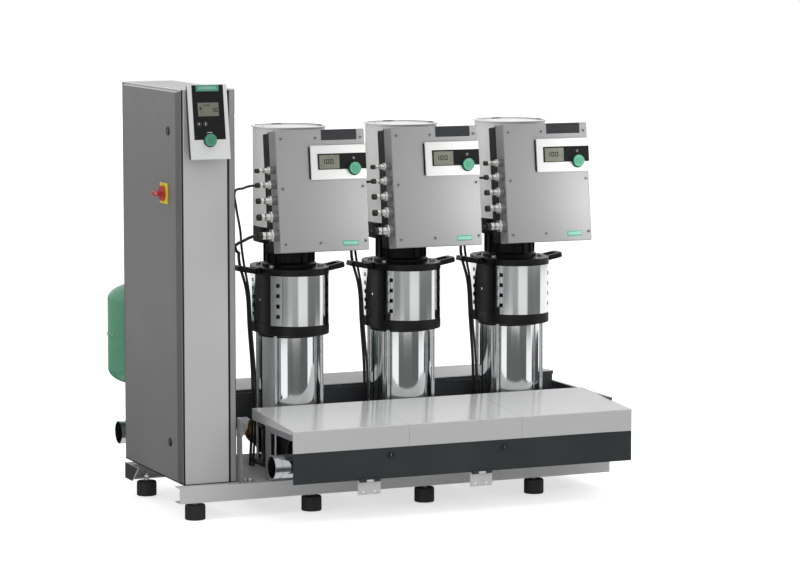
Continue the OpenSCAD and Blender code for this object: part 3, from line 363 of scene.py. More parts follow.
# pump cables: the routes of the solids, as one smooth tube each
cableSet = {
    "signal": {"thick": 8, "route": [
        (-221.8, -272, 1064), (-230.7, -271, 1064), (-237.5, -261, 1062), (-239.5, -212, 1052),
        (-245, -150, 1036), (-228, -115, 985), (-194, -60, 904), (-158, 22, 835), (-140, 52, 784),
        (-126, 44, 690), (-122, 34, 576), (-113, 20, 370), (-120, 26, 109.5)]},
    "power": {"thick": 10, "route": [
        (-221.8, -291, 905), (-230.7, -290, 905), (-237.5, -280, 902), (-239.5, -228, 888),
        (-243, -150, 864), (-225, -100, 848), (-200, -45, 832), (-174, 5, 820), (-160, 45, 806),
        (-149, 65, 776), (-128, 60, 690), (-124, 50, 576), (-116, 38, 370), (-124, 44, 109.5)]},
}
tubes = []
for lead in cableSet.values():
    curve = bpy.data.curves.new("lead", "CURVE")
    curve.dimensions = "3D"
    curve.bevel_depth = lead["thick"] / 2 * mm
    curve.bevel_resolution = 4
    curve.resolution_u = 8
    curve.use_fill_caps = True
    spline = curve.splines.new("BEZIER")
    spline.bezier_points.add(len(lead["route"]) - 1)
    for point, place in zip(spline.bezier_points, lead["route"]):
        point.co = [c * mm for c in place]
        point.handle_left_type = point.handle_right_type = "AUTO"
    tube = bpy.data.objects.new("lead", curve)
    bpy.context.scene.collection.objects.link(tube)
    alone(tube)
    bpy.ops.object.convert(target="MESH")
    tubes.append(wear(bpy.context.object, cableBlack))
forPumps(tubes, "pumpCables", "rubber_black", "pump_cables", smooth=60)
print("cables laid")

# frequency converters
converterSet = {"width": 307, "height": 390, "lid": 60, "lean": 6.9, "reach": 293, "up": 1043, "edge": 3,
                "window": (3, 160, 126, 196), "badge": (63, -179, 117, -162), "screw": 5, "socketShade": 2.2,
                "screws": [(-135, 168), (-16, 168), (138, 168), (-135, 9), (140, 9.5), (-134, -168),
                           (-14, -167), (141, -165)]}
facePlace = (slid(0, -converterSet["reach"], converterSet["up"])
             @ rotated(-converterSet["lean"], "X"))
halfW, halfH = converterSet["width"] / 2, converterSet["height"] / 2
lid = block((-halfW, 0, -halfH), (halfW, converterSet["lid"], halfH), lidCoat, converterSet["edge"], 3)
x0, z0, x1, z1 = converterSet["window"]
carved(lid, block((x0, -5, z0), (x1, 2.5, z1 + 5), lidCoat))
lidParts = [lid, block((x0 + 0.4, 0.8, z0 + 0.4), (x1 - 0.4, 3, z1 - 2), windowDark, 0.4)]
screw = converterSet["screw"]
# the socket is a black hexagon on each screw head: painted shade of the recess
for x, z in converterSet["screws"]:  # countersunk screws with a dark socket
    lidParts += [barrel("y", screw + 1.2, (x, -0.5, z), 2, lidCoat, sides=28, bevel=0.4),
                 barrel("y", screw, (x, -1.0, z), 1.5, darkSteel, sides=28, bevel=0.3),
                 barrel("y", converterSet["socketShade"], (x, -1.2, z), 1, stripBlack, sides=6)]
x0, z0, x1, z1 = converterSet["badge"]
lidParts += [block((x0, -0.7, z0), (x1, 0.5, z1), badgeGreen, 0.3),
             block((x0 + 2.5, -0.9, z0 + 3.5), (x1 - 2.5, 0, z1 - 3.5), badgePale, 0.2)]
forPumps(lidParts, "converterLids", "lid_grey", "converter_lids", place=facePlace)

housingSet = {"lip": 4, "back": 122, "ribs": 15, "ribLeft": -128, "ribPitch": 18, "ribWide": 6,
              "ribHalf": 180}
seam, lip, back, ribHalf = converterSet["lid"], housingSet["lip"], housingSet["back"], housingSet["ribHalf"]
housing = [block((-halfW, seam, -halfH), (halfW, seam + lip, halfH), motorBlack, 1.5),
           block((-halfW + lip, seam + 3, -halfH + lip), (halfW - lip, back, halfH - lip), motorBlack, 4, 3)]
for k in range(housingSet["ribs"]):  # cooling ribs on the back
    x0 = housingSet["ribLeft"] + k * housingSet["ribPitch"]
    x1 = x0 + housingSet["ribWide"]
    housing.append(block((x0, back - 2, -ribHalf), (x1, back + 6, ribHalf), motorBlack, 1))
adapter = [block((-75, -199, 943), (75, -96, 1143), motorBlack, 4),
           block((-60, -199, 905), (60, -110, 944), motorBlack, 5),
           hexagon("x", 26, (-86, -150, 962), 12, darkSteel),
           barrel("x", 10, (-100, -150, 962), 14, plasticBlack, bevel=2)]
forPumps([moved(merged("housing", housing), facePlace)] + adapter, "converterHousings", "cast_black",
         "converter_housings")

panelSet = {"bezel": (-38, 34, 153.5, 144), "proud": 5.8, "strip": (-14, 66, 153, 117),
            "screen": (-9.5, 68, 60, 113), "knob": (111, 68), "disc": 22.5, "key": (110, 101)}
x0, z0, x1, z1 = panelSet["bezel"]
panelParts = [block((x0, -panelSet["proud"], z0), (x1, 0, z1), bezelWhite, 2.2, 3),
              block((x0 - 5, -2.5, z0 + 4), (x0 + 1, 0, z1 - 4), stripBlack, 0.6)]
x0, z0, x1, z1 = panelSet["strip"]
panelParts.append(block((x0, -7, z0), (x1, -5, z1), stripBlack, 0.5))
x0, z0, x1, z1 = panelSet["screen"]
panelParts.append(block((x0 + 0.6, -7.4, z0 + 0.6), (x1, -6.5, z1 - 0.4), lcdGlass, 0.25))
strokes = {"1": "bc", "0": "abcdef"}
digitSet = {"left": -1, "low": 84, "pitch": 15, "wide": 11, "high": 15.5, "thick": 3, "gap": 0.1}
wide, high, thick = digitSet["wide"], digitSet["high"], digitSet["thick"]
bars = {"a": (0, high - thick, wide, high), "b": (wide - thick, high / 2, wide, high),
        "c": (wide - thick, 0, wide, high / 2), "d": (0, 0, wide, thick),
        "e": (0, 0, thick, high / 2), "f": (0, high / 2, thick, high)}


def numberBars(text, left, low, size, front):  # plain numbers on a display
    gap = digitSet["gap"]
    for k, digit in enumerate(text):
        start = left + k * size * digitSet["pitch"]
        for stroke in strokes[digit]:
            x0, z0, x1, z1 = (size * v for v in bars[stroke])
            yield block((start + x0 + gap, front, low + z0 + gap),
                        (start + x1 - gap, front + 0.5, low + z1 - gap), lcdInk)


panelParts += numberBars("100", digitSet["left"], digitSet["low"], 1, -7.7)
knobX, knobZ = panelSet["knob"]
keyX, keyZ = panelSet["key"]
panelParts += [barrel("y", panelSet["disc"], (knobX, -7.3, knobZ), 1.2, stripBlack, sides=48, bevel=0.2),
               barrel("y", 4.5, (keyX, -7.6, keyZ), 0.9, darkSteel, sides=24, bevel=0.2)]
forPumps(panelParts, "converterPanels", "panel_white", "converter_panels", place=facePlace)

knobSet = {"radius": 20, "flutes": 32, "dip": 0.4, "back": -9, "long": 10,
           "steps": [(0.965, 1.0), (0.93, 0.5), (0.86, -0.3), (0.84, -0.6)], "disc": 15.7}


def settingKnob():  # fluted cap with a rounded rim and a dished disc in front, axis along Y
    ring = []
    for k in range(knobSet["flutes"] * 4):
        angle = 2 * math.pi * k / (knobSet["flutes"] * 4)
        radius = knobSet["radius"] - knobSet["dip"] * (1 - math.cos(angle * knobSet["flutes"]))
        ring.append((radius * math.cos(angle), radius * math.sin(angle)))
    cap = fromOutline(ring, knobSet["long"] - 4, knobRim, base=2)
    alone(cap)
    top = max(v.co.z for v in cap.data.vertices)
    bpy.ops.object.mode_set(mode="EDIT")
    bpy.ops.mesh.select_all(action="DESELECT")
    bpy.ops.mesh.select_mode(type="FACE")
    bpy.ops.object.mode_set(mode="OBJECT")
    for face in cap.data.polygons:
        face.select = face.normal.z > 0.9 and face.center.z > top - 0.0005
    bpy.ops.object.mode_set(mode="EDIT")
    before = 1.0
    for share, rise in knobSet["steps"]:  # each ring is pulled out of the last and drawn in
        bpy.ops.mesh.extrude_region_move(TRANSFORM_OT_translate={"value": (0, 0, rise * mm)})
        bpy.ops.transform.resize(value=(share / before, share / before, 1), center_override=(0, 0, 0))
        before = share
    bpy.ops.object.mode_set(mode="OBJECT")
    skirt = spun([(4.2, 0), (19.6, 0), (19.6, 1.6), (18.9, 2.2), (4.2, 2.2)], knobRim, steps=48)
    front = knobSet["long"] - 1.6
    disc = spun([(0, front + 0.5), (9.8, front + 0.45), (14.3, front + 0.1), (knobSet["disc"], front - 0.8),
                 (0, front - 0.8)], knobGreen, steps=48)
    dot = barrel("z", 1.3, (0, 11.6, front + 0.1), 0.6, badgePale, sides=16)
    knob = merged("knob", [cap, skirt, disc, dot])
    return moved(knob, slid(0, knobSet["back"], 0) @ rotated(90, "X"))


masterKnob = settingKnob()
for k, x in enumerate(pumpX, 1):
    knob = copied(masterKnob, slid(x) @ facePlace @ slid(knobX, 0, knobZ))
    finished([knob], "converterKnob%d" % k, "knob_green", "converter_knob_%d" % k, body="knob_%d" % k)
print("converter faces done")

glandSet = {"across": [26, 29, 32, 36, 40], "up": [70, 24, -26, -78, -137], "depth": 18, "seat": 19,
            "nut": 24, "body": 54, "long": 68}
depth, seat, nut, body, long = (glandSet[key] for key in ("depth", "seat", "nut", "body", "long"))
glandParts = []
for across, up in zip(glandSet["across"], glandSet["up"]):
    glandParts += [
        # the seat's dark grey is painted shade on the lid's side
        hexagon("x", across * 0.9, (-halfW - seat, depth, up), seat, glandDark, 0.8),
        hexagon("x", across * 0.94, (-halfW - nut, depth, up), nut - seat, nickelBrass, 0.9),
        barrel("x", across * 0.27, (-halfW - body, depth, up), body - nut + 1, plasticBlack, sides=32),
        hexagon("x", across * 0.58, (-halfW - nut - 13, depth, up), 13.5, nickelBrass, 0.8),
        barrel("x", across * 0.33, (-halfW - nut - 17, depth, up), 2.5, nickelBrass, sides=32, bevel=0.6),
        hexagon("x", across * 0.58, (-halfW - body, depth, up), body - nut - 19, nickelBrass, 0.8),
        barrel("x", across * 0.29, (-halfW - long, depth, up), long - body + 1, plasticBlack, bevel=3)]
forPumps(glandParts, "cableGlands", "bright_steel", "cable_glands", place=facePlace)
print("glands done")

# motors
cowlSet = {"side": 226, "corner": 95, "low": 907, "high": 1235, "rim": 52, "lip": 6, "edge": 4, "bars": 9,
           "barPitch": 16, "slotPitch": 20}


def squareOutline(side, corner, steps=20):
    points = []
    for turn in range(4):
        cx = (side / 2 - corner) * (1 if turn in (0, 3) else -1)
        cy = (side / 2 - corner) * (1 if turn in (0, 1) else -1)
        for k in range(steps + 1):
            angle = math.radians(turn * 90 + 90 * k / steps)
            points.append((cx + corner * math.cos(angle), cy + corner * math.sin(angle)))
    return points


side, corner, low, high = (cowlSet[key] for key in ("side", "corner", "low", "high"))
lip, edge = cowlSet["lip"], cowlSet["edge"]
cowl = fromOutline(squareOutline(side, corner), high - low, cowlGrey, 3, low)
rim = fromOutline(squareOutline(side + 2 * lip, corner + lip), edge, cowlGrey, 1.2, high - edge)
for piece in (cowl, rim):  # the fan's grille is set into the top
    carved(piece, fromOutline(squareOutline(side - 9, corner - 4.5), 20, cowlGrey, base=high - 7))
cowlParts = [cowl, rim]
grille = high - 8
for k in range(cowlSet["bars"]):  # grille bars in the top and air slots at the back
    y, z = -64 + k * cowlSet["barPitch"], 1010 + k * cowlSet["slotPitch"]
    cowlParts += [block((-60, y - 3, grille), (60, y + 3, grille + 4), cowlGrey, 0.8),
                  block((-15, 112.2, z), (15, 113.2, z + 7), plasticBlack, 0.4)]
for x in (-62, 62):
    for y in (-78, 78):
        cowlParts.append(barrel("z", 5, (x, y, grille), 3, zincSteel, sides=24, bevel=0.6))
forPumps(cowlParts, "motorCowls", "cowl_grey", "motor_cowls")

neckRibs = 16
neckParts = [spun([(70, 775), (90, 775), (90, 783), (83, 788), (81, 792), (81, 846), (83, 850), (83, 856),
                   (70, 856)], motorBlack, steps=96),
             fromOutline(squareOutline(side, corner), cowlSet["rim"], motorBlack, 3, low - cowlSet["rim"])]
for k in range(neckRibs):  # stiffening ribs round the neck
    rib = block((80, -4, 790), (86, 4, 852), motorBlack, 1.5)
    neckParts.append(moved(rib, Matrix.Rotation(2 * math.pi * (k + 0.5) / neckRibs, 4, "Z")))
neckParts.append(spun([(76, low), (78, low), (78, 1172), (60, 1172)], motorBlack))
forPumps(neckParts, "motorHousings", "cast_black", "motor_housings")
print("motors done")

# lanterns, guards and handles
lanternSet = {"radius": 112, "half": 50, "ring": (556, 590), "top": (753, 775), "split": (-95, 22),
              "column": 16, "inset": 1.8, "bolts": (86, 62)}
lanternRadius, lanternHalf = lanternSet["radius"], lanternSet["half"]
ringLow, ringHigh = lanternSet["ring"]
topLow, topHigh = lanternSet["top"]
splitFront, splitRear = lanternSet["split"]


def stadiumOutline(steps=48):
    points = []
    for centre, start in ((lanternHalf, 0), (-lanternHalf, math.pi)):
        for k in range(steps + 1):
            angle = start + math.pi * k / steps
            points.append((lanternRadius * math.cos(angle), centre + lanternRadius * math.sin(angle)))
    return points


def sideReach(y):  # half width of the stadium at y
    past = max(0, abs(y) - lanternHalf)
    return math.sqrt(max(0, lanternRadius * lanternRadius - past * past))


ring = fromOutline(stadiumOutline(), ringHigh - ringLow, castBlack, 3, ringLow)
collar = spun([(60, 545), (103, 545), (104, 547), (104, 557), (60, 557)], castBlack, steps=96)
top = fromOutline(stadiumOutline(), topHigh - topLow, castBlack, 3, topLow)
carved(top, barrel("z", 60, (0, 0, topLow - 5), 40, castBlack, sides=64))
lanternParts = [ring, collar, top]
ys = [splitFront + 2 + (splitRear - splitFront - 4) * k / 14 for k in range(15)]
boltX, boltY = lanternSet["bolts"]
for side in (-1, 1):
    outer = [(side * (sideReach(y) - lanternSet["inset"]), y) for y in ys]
    inner = [(side * (sideReach(y) - lanternSet["inset"] - lanternSet["column"]), y) for y in reversed(ys)]
    screwX = side * 110 - (0 if side > 0 else 2.5)
    lanternParts += [fromOutline(outer + inner, topLow - ringHigh, castBlack, 1.2, ringHigh),
                     barrel("x", 4.5, (screwX, -22, 668), 2.5, drawnSteel, sides=24, bevel=0.6)]
    for y in (-boltY, boltY):  # bolts of the motor's flange and the ring
        lanternParts += [hexagon("z", 16, (side * boltX, y, z), 8, zincSteel) for z in (topHigh, ringHigh)]
lanternParts.append(spun([(12.6, 590), (42, 590), (42, 602), (30, 606), (12.6, 606)], drawnSteel, steps=48))
forPumps(lanternParts, "lanterns", "cast_black", "lanterns")

guardSet = {"sheet": 1.5, "middle": 671.5, "hole": 6.5, "turn": 51, "frontRows": 4, "frontPitch": 34,
            "rearRows": 5, "rearPitch": 28, "rearY": 42}


def guardSheet(arc):  # a part of the stadium's outline, given the thickness of the sheet
    inner = []
    for x, y in reversed(arc):
        past = max(0, abs(y) - lanternHalf) * (1 if y > 0 else -1)
        reach = math.hypot(x, past)
        share = (reach - guardSet["sheet"]) / reach
        inner.append((x * share, y - past + past * share))
    return fromOutline(arc + inner, topLow - ringHigh, guardSteel, 0, ringHigh)


outline = stadiumOutline(72)
reach = sideReach(splitFront)
frontGuard = guardSheet([(-reach, splitFront)] + [p for p in outline if p[1] <= splitFront]
                        + [(reach, splitFront)])
rearGuard = guardSheet([(lanternRadius, splitRear)] + [p for p in outline if p[1] >= splitRear]
                       + [(-lanternRadius, splitRear)])
hole, rearY = guardSet["hole"], guardSet["rearY"]
for side in (-1, 1):  # square holes beside the columns
    turn = rotated(-90 + side * guardSet["turn"], "Z")
    for k in range(guardSet["frontRows"]):
        z = guardSet["middle"] + (k - 1.5) * guardSet["frontPitch"]
        cutter = block((-9, -hole, z - hole), (9, hole, z + hole), guardSteel, 1, 2)
        carved(frontGuard, moved(cutter, slid(0, -lanternHalf) @ turn @ slid(lanternRadius)))
    x = side * lanternRadius
    for k in range(guardSet["rearRows"]):
        z = guardSet["middle"] + (k - 2) * guardSet["rearPitch"]
        cutter = block((x - 9, rearY - hole, z - hole), (x + 9, rearY + hole, z + hole), guardSteel, 1, 2)
        carved(rearGuard, cutter)
forPumps([frontGuard, rearGuard], "couplingGuards", "polished_steel", "coupling_guards")

handleSet = {"root": 116, "reach": 189, "wide": 70, "thick": 17, "bar": 16, "lift": 10.5, "low": 751}
span = (handleSet["reach"] - handleSet["root"]) / math.cos(math.radians(handleSet["lift"]))
wide, bar = handleSet["wide"], handleSet["bar"]
loop = fromOutline([(x * span / wide + span / 2, y) for x, y in squareOutline(wide, 16)], handleSet["thick"],
                   castBlack)
opening = fromOutline([(x * (span - 2 * bar) / (wide - 2 * bar) + span / 2, y)
                       for x, y in squareOutline(wide - 2 * bar, 9)], 40, castBlack, 0, -10)
rounded(carved(loop, opening), 5, 3, 40)
moved(loop, slid(handleSet["root"], 0, handleSet["low"]) @ rotated(-handleSet["lift"], "Y"))
pad = block((112, -35, 754), (124, 35, 774), castBlack, 3, 3)
studs = [hexagon("x", 13, (123.5, y, 764), 4, zincSteel) for y in (-13, 13)]
handle = merged("handle", [loop, pad] + studs)
twin = copied(handle, rotated(180, "Z"))
forPumps([handle, twin], "liftingHandles", "cast_black", "lifting_handles")
print("lanterns done")

# pump shells, rods and feet
shell = spun([(96, 250), (99, 250), (100, 251), (100, 262), (100.7, 264), (100.7, 267), (100, 269),
              (100, 271), (100, 553), (100, 555), (99, 556), (96, 556)], polishedSteel, steps=144)
forPumps([shell], "pumpShells", "polished_steel", "pump_shells")
rodSet = {"circle": 115, "seat": 125, "nut": 19, "washer": 12}
seat = rodSet["seat"]
quarters = [math.radians(45 + 90 * k) for k in range(4)]
rods = []
for angle in quarters:
    x, y = rodSet["circle"] * math.cos(angle), rodSet["circle"] * math.sin(angle)
    rods += [spun([(0, seat), (5.5, seat), (6, seat + 1), (6, seat + 3), (6, 553), (6, 555), (5.5, 556),
                   (0, 556)], drawnSteel, (x, y), 32),
             hexagon("z", rodSet["nut"], (x, y, seat + 2), 10, zincSteel),
             spun([(6, seat), (rodSet["washer"], seat), (rodSet["washer"], seat + 2.2), (6, seat + 2.2)],
                  zincSteel, (x, y), 32)]
forPumps(rods, "tieRods", "bright_steel", "tie_rods")

footSet = {"portZ": 184.6, "port": 38, "portLong": 141, "flange": 70, "flangeThick": 16, "bolts": 52,
           "bolt": 10}
portZ, portLong, circle = footSet["portZ"], footSet["portLong"], footSet["bolts"]
flange, flangeThick = footSet["flange"], footSet["flangeThick"]
face = portLong - 1
footParts = [block((-95, -110, 109), (95, 110, 125), castBlack, 4, 3),
             spun([(75, 125), (98, 125), (98, 132), (94, 140), (94, 228), (98, 236), (100, 238), (100, 249),
                   (99, 250), (96, 250), (75, 250)], castBlack, steps=96)]
for side in (-1, 1):  # a port with its flange and bolts on either side
    portY, flangeY, boltY = (0, face, face - footSet["bolt"])
    if side < 0:
        portY, flangeY, boltY = (-portLong, -face - flangeThick, -face)
    footParts += [barrel("y", footSet["port"], (0, portY, portZ), portLong, castBlack, sides=56),
                  barrel("y", flange, (0, flangeY, portZ), flangeThick, castBlack, sides=72, bevel=2)]
    for angle in quarters:
        place = (circle * math.cos(angle), boltY, portZ + circle * math.sin(angle))
        footParts.append(hexagon("y", 18, place, footSet["bolt"], zincSteel))
    footParts += [hexagon("z", 17, (x, side * 98, 125), 9, zincSteel) for x in (-78, 78)]
forPumps(footParts, "pumpFeet", "cast_black", "pump_feet")
print("pumps done")

# base frame
baseSet = {"left": -28, "right": 1502, "half": 271, "low": 57, "high": 109, "flange": 45, "sheet": 4,
           "cap": 0.8, "footX": 35, "footPitch": 400, "footY": 237.25}
# for an outline in y and z that is pulled along x, and for its mirror image
alongX = Matrix(((0, 0, 1, 0), (1, 0, 0, 0), (0, 1, 0, 0), (0, 0, 0, 1)))
toFront = Matrix(((0, 0, 1, 0), (-1, 0, 0, 0), (0, 1, 0, 0), (0, 0, 0, 1)))
x0, x1, y0, z0, z1 = (baseSet[key] for key in ("left", "right", "half", "low", "high"))
inner, sheet, cap = y0 - baseSet["flange"], baseSet["sheet"], baseSet["cap"]
rail = fromOutline([(inner, z0), (y0, z0), (y0, z1), (inner, z1), (inner, z1 - sheet),
                    (y0 - sheet, z1 - sheet), (y0 - sheet, z0 + sheet), (inner, z0 + sheet)],
                   x1 - x0, railCoat, 1.2, x0)
finished([rail], "baseFrontRail", "rail_grey", "base_front_rail", place=toFront)
leftCap = fromOutline([(y0, z0 + 0.3), (y0, z1 - 0.3), (y0 - 131.5, z1 - 0.3), (y0 - 69, z0 + 0.3)], cap,
                      endCoat, 0.25, x0 - cap)
rightCap = copied(leftCap, slid(0, 0, x1 - x0 + cap))
finished([leftCap, rightCap], "railEndCaps", "rail_grey", place=alongX)
foot = spun([(0, 0), (31, 0), (33, 2), (33, 40), (32, 46), (30, 48), (0, 48)], footRubber, steps=64)
bolt = spun([(0, 48), (8, 48), (8, 50), (5, 51), (5, 75), (4, 76), (0, 76)], zincSteel, steps=40)
nuts = [hexagon("z", 15, (0, 0, 50.5), 6, zincSteel), hexagon("z", 19, (0, 0, 61), 8, zincSteel)]
stud = merged("stud", [bolt] + nuts)
feet, studs = [], []
for k in range(4):
    for side in (-1, 1):
        place = slid(baseSet["footX"] + baseSet["footPitch"] * k, side * baseSet["footY"])
        feet.append(copied(foot, place))
        studs.append(copied(stud, place))
bpy.data.objects.remove(foot)
bpy.data.objects.remove(stud)
finished(feet, "rubberFeet", "rubber_black", "rubber_feet")
finished(studs, "footStuds", "bright_steel", "foot_studs")
print("base done")

# covers
coverSet = {"left": 278, "wide": 399.2, "pitch": 400, "edge": 474, "deep": 361.5, "drop": 70.5, "side": 12,
            "sheet": 2, "bend": 3}


def foldedSheet(points, faces):  # mm points and quads, folded edges rounded, then given thickness
    obj = sketched("sheet", points, [], faces)
    rounded(obj, coverSet["bend"], 3, 20)
    applied(obj, "SOLIDIFY", thickness=coverSet["sheet"] * mm, offset=-1, use_even_offset=True)
    return wear(obj, coverCoat)


def sheetCover(low, rise, lip, relief, lipCoat):  # folded sheet, its outer edge at y = 0
    wide, deep, drop, side, sheet = (coverSet[key] for key in ("wide", "deep", "drop", "side", "sheet"))
    top, end = low + rise, deep - relief
    points = [(0, 0, low), (wide, 0, low), (wide, deep, top), (0, deep, top),
              (0, 0, low - drop), (wide, 0, low - drop), (wide, deep, top - lip), (0, deep, top - lip)]
    folded = foldedSheet(points, [(0, 1, 2, 3), (0, 4, 5, 1), (3, 2, 6, 7)])
    leftLip = fromOutline([(sheet, low - side), (end, low - side), (end, low + rise * end / deep - 2.5),
                           (sheet, low - 2.5)], sheet, coverCoat, 0.5)
    moved(leftLip, alongX)
    rightLip = copied(leftLip, slid(wide - sheet))
    trim = block((0.2, deep - 0.2, top - lip), (wide - 0.2, deep + 0.2, top - 3), lipCoat)
    return merged("cover", [folded, leftLip, rightLip, trim])


coverX = [coverSet["left"] + coverSet["pitch"] * k for k in range(3)]
outerEdge = coverSet["edge"]
fronts = [moved(sheetCover(300, 26, 34, 2, coverCoat), slid(x, -outerEdge)) for x in coverX]
finished(fronts, "frontCovers", "cover_grey", "front_covers")
flip = rotated(180, "Z")
backs = [moved(sheetCover(337, 18, 13, 6, skirtCoat), slid(x + coverSet["wide"], outerEdge) @ flip)
         for x in coverX]
finished(backs, "rearCovers", "cover_grey", "rear_covers")
sideEdge = block((1479.2, -312.2, 315.6), (1488.2, 312.2, 318.3), railCoat, 0.6)
finished([sideEdge], "sidePanelEdge", "skirt_anthracite")

flapSet = {"left": 278, "right": 1477.2, "low": 130, "high": 229, "thick": 2.5, "lockZ": 205,
           "locks": [614, 1014], "hinges": [540, 933], "pin": (-477, 127), "knuckle": 23, "apart": 24}
flapBack = -outerEdge + flapSet["thick"]
pinY, pinZ = flapSet["pin"]
knuckle, apart = flapSet["knuckle"], flapSet["apart"]
flapParts = [block((flapSet["left"], -outerEdge, flapSet["low"]),
                   (flapSet["right"], flapBack, flapSet["high"]), flapCoat, 0.9)]
for x in flapSet["hinges"]:
    for side in (-1, 1):
        x0 = x + side * apart - knuckle / 2
        flapParts += [barrel("x", 4, (x0, pinY, pinZ), knuckle, flapCoat, sides=24, bevel=0.5),
                      block((x0, pinY - 4, pinZ), (x0 + knuckle, flapBack, pinZ + 7), flapCoat, 1.2)]
    flapParts.append(barrel("x", 2, (x - apart, pinY, pinZ), 2 * apart, zincSteel, sides=20))
finished(flapParts, "frontFlap", "skirt_anthracite", "front_flap", body="flap")
for side, x in zip(("Left", "Right"), flapSet["locks"]):
    head = spun([(0, -2.4), (6, -2.4), (7, -3.6), (10.6, -4), (12, -3), (12, -0.3), (8, -0.3), (8, 6.4),
                 (0, 6.4)], plasticBlack, steps=40)
    moved(head, rotated(-90, "X"))
    bit = block((-1.1, -3.4, -4.5), (1.1, -2.2, 5.2), nickelBrass, 0.4)
    tongue = block((-7, 3.5, -7), (33, 6.5, 7), zincSteel, 1)
    finished([head, bit, tongue], "flapLock" + side, "black_plastic", "flap_lock_" + side.lower(),
             body="flap_catch_" + side.lower(), place=slid(x, -outerEdge, flapSet["lockZ"]))
print("covers done")

# control cabinet
cabinetSet = {"wide": 178, "back": 349, "low": 109, "high": 1370, "sheet": 2, "recess": 6, "post": 18,
              "pin": (9, 333), "pinLong": 18}
front, back, sheet = cabinetFront, cabinetSet["back"], cabinetSet["sheet"]
wide, low, high = cabinetSet["wide"], cabinetSet["low"], cabinetSet["high"]
recessed, postX = front + cabinetSet["recess"], wide - cabinetSet["post"]
body = block((0, front, low), (wide, back, high), bodyCoat, 2.5, 3)
carved(body, block((-5, front + 8, low + sheet), (wide - sheet, back - sheet, high - sheet), bodyCoat))
carved(body, block((-5, front - 8, low + sheet), (postX, recessed, high - sheet), bodyCoat))
bodyParts = [body, block((20, -225, low + 1), (22, -147, high - 1), bodyCoat, 0.5)]
for z in (low + 1, high - 1 - cabinetSet["pinLong"]):  # hinge pins of the door
    bodyParts.append(barrel("z", 4, (*cabinetSet["pin"], z), cabinetSet["pinLong"], zincSteel, sides=24))
bodyParts += [
    # a seal round the door and one below; black strips in the gaps beside the front panel and along the right
    # front edge, painted shade
    block((18.8, -224, 111.5), (20, -205, 1367.5), rubberSeal, 0.4),
    block((0.8, -227, 111.5), (5.7, -222, 1367.5), rubberSeal, 0.5),
    block((153.3, -228.5, 111.2), (159.7, -226.2, 1367.8), rubberSeal, 0.4),
    block((176.8, front - 0.2, 110), (178.3, recessed, 1369.4), rubberSeal, 0.3),
    block((-0.3, front - 0.3, low), (178.3, back + 0.3, low + 3), rubberSeal, 0.5),
    # top sheet with its rims, near-white as painted highlight, and the right side
    block((sheet, front + sheet, 1369), (wide - sheet, back - sheet, 1370.5), topCoat, 0.4),
    block((0, front, 1367.5), (6, back, 1371), rimCoat, 1),
    block((0, front, 1367.5), (wide, front + 5, 1371), rimCoat, 1),
    # the right side is a sheet in the covers' lighter silver, not the body's grey: painted light, so that it
    # shows bright in the polished tubes
    block((wide - 1, recessed, 113), (178.4, 346, 1367), coverCoat, 0.4)]
finished(bodyParts, "cabinetBody", "cabinet_grey", "cabinet_body")

doorSet = {"front": -221, "back": 342, "low": 112.5, "high": 1366.5, "thick": 18, "rim": 20, "slope": 63,
           "fall": 7, "lockY": -105, "locks": {"Upper": 1234, "Lower": 231}, "switch": (-75.5, 1033),
           "bars": (300, 1150)}
front, back, fall, rim = (doorSet[key] for key in ("front", "back", "fall", "rim"))
low, high = doorSet["low"], doorSet["high"]
door = block((0, front, low), (doorSet["thick"], back, high), doorCoat, 1.5)
slope = [(-2, front - 2), (fall + 0.3, front - 2), (-2, front + doorSet["slope"])]
# the sloped front edge takes the darker coat: painted shade
carved(door, fromOutline(slope, 1300, edgeCoat, 0, 90))
# the door's top chamfer takes the near-white coat: painted highlight
carved(door, moved(block((-30, front - 10, -30), (0, back + 10, 30), rimCoat),
                   slid(0, 0, high - fall) @ rotated(45, "Y")))
carved(door, block((9, front + rim, low + rim), (30, back - rim, high - rim), doorCoat))
for z in doorSet["locks"].values():
    carved(door, barrel("x", 11.05, (-5, doorSet["lockY"], z), 30, doorCoat, sides=40))
carved(door, barrel("x", 5.05, (-5, *doorSet["switch"]), 30, doorCoat, sides=32))
doorParts = [door]
for z in doorSet["bars"]:  # stiffeners
    doorParts.append(block((8, front + 24, z), (14, back - 24, z + 20), zincSteel, 1))
finished(doorParts, "cabinetDoor", "door_grey", "cabinet_door", body="door")
frontPanel = block((6, cabinetFront, 111), (153, recessed, 1368), frontCoat, 2.2, 3)
finished([frontPanel], "cabinetFrontPanel", "front_grey", "cabinet_front_panel")
for name, z in doorSet["locks"].items():
    insert = spun([(0, -1.6), (6.5, -1.6), (7.5, -3), (12, -3.2), (14.3, -1.6), (14.3, -0.2), (11, -0.2),
                   (11, 25.4), (0, 25.4)], plasticBlack, steps=48)
    moved(insert, rotated(90, "Y"))
    bit = block((-2.8, -1.3, -5.2), (-1.2, 1.3, 5.2), nickelBrass, 0.4)
    tongue = block((22.4, -7, -7), (25.4, 7, 53), zincSteel, 1)
    finished([insert, bit, tongue], "doorLock" + name, "black_plastic", "door_lock_" + name.lower(),
             body="lock_" + name.lower(), place=slid(0, doorSet["lockY"], z))
toDoor = rotated(-90, "Y")
switchPlace = slid(0, *doorSet["switch"])
plate = block((-8, -33.5, -33.5), (0, 33.5, 33.5), switchYellow, 2.5, 3)
carved(plate, barrel("x", 5.05, (-12, 0, 0), 20, switchYellow, sides=32))
ringMark = moved(spun([(26, 7.5), (29, 7.5), (29, 8.25), (26, 8.25)], switchYellow, steps=48), toDoor)
finished([plate, ringMark], "mainSwitchPlate", "switch_yellow", "main_switch_plate", body="door",
         place=switchPlace)
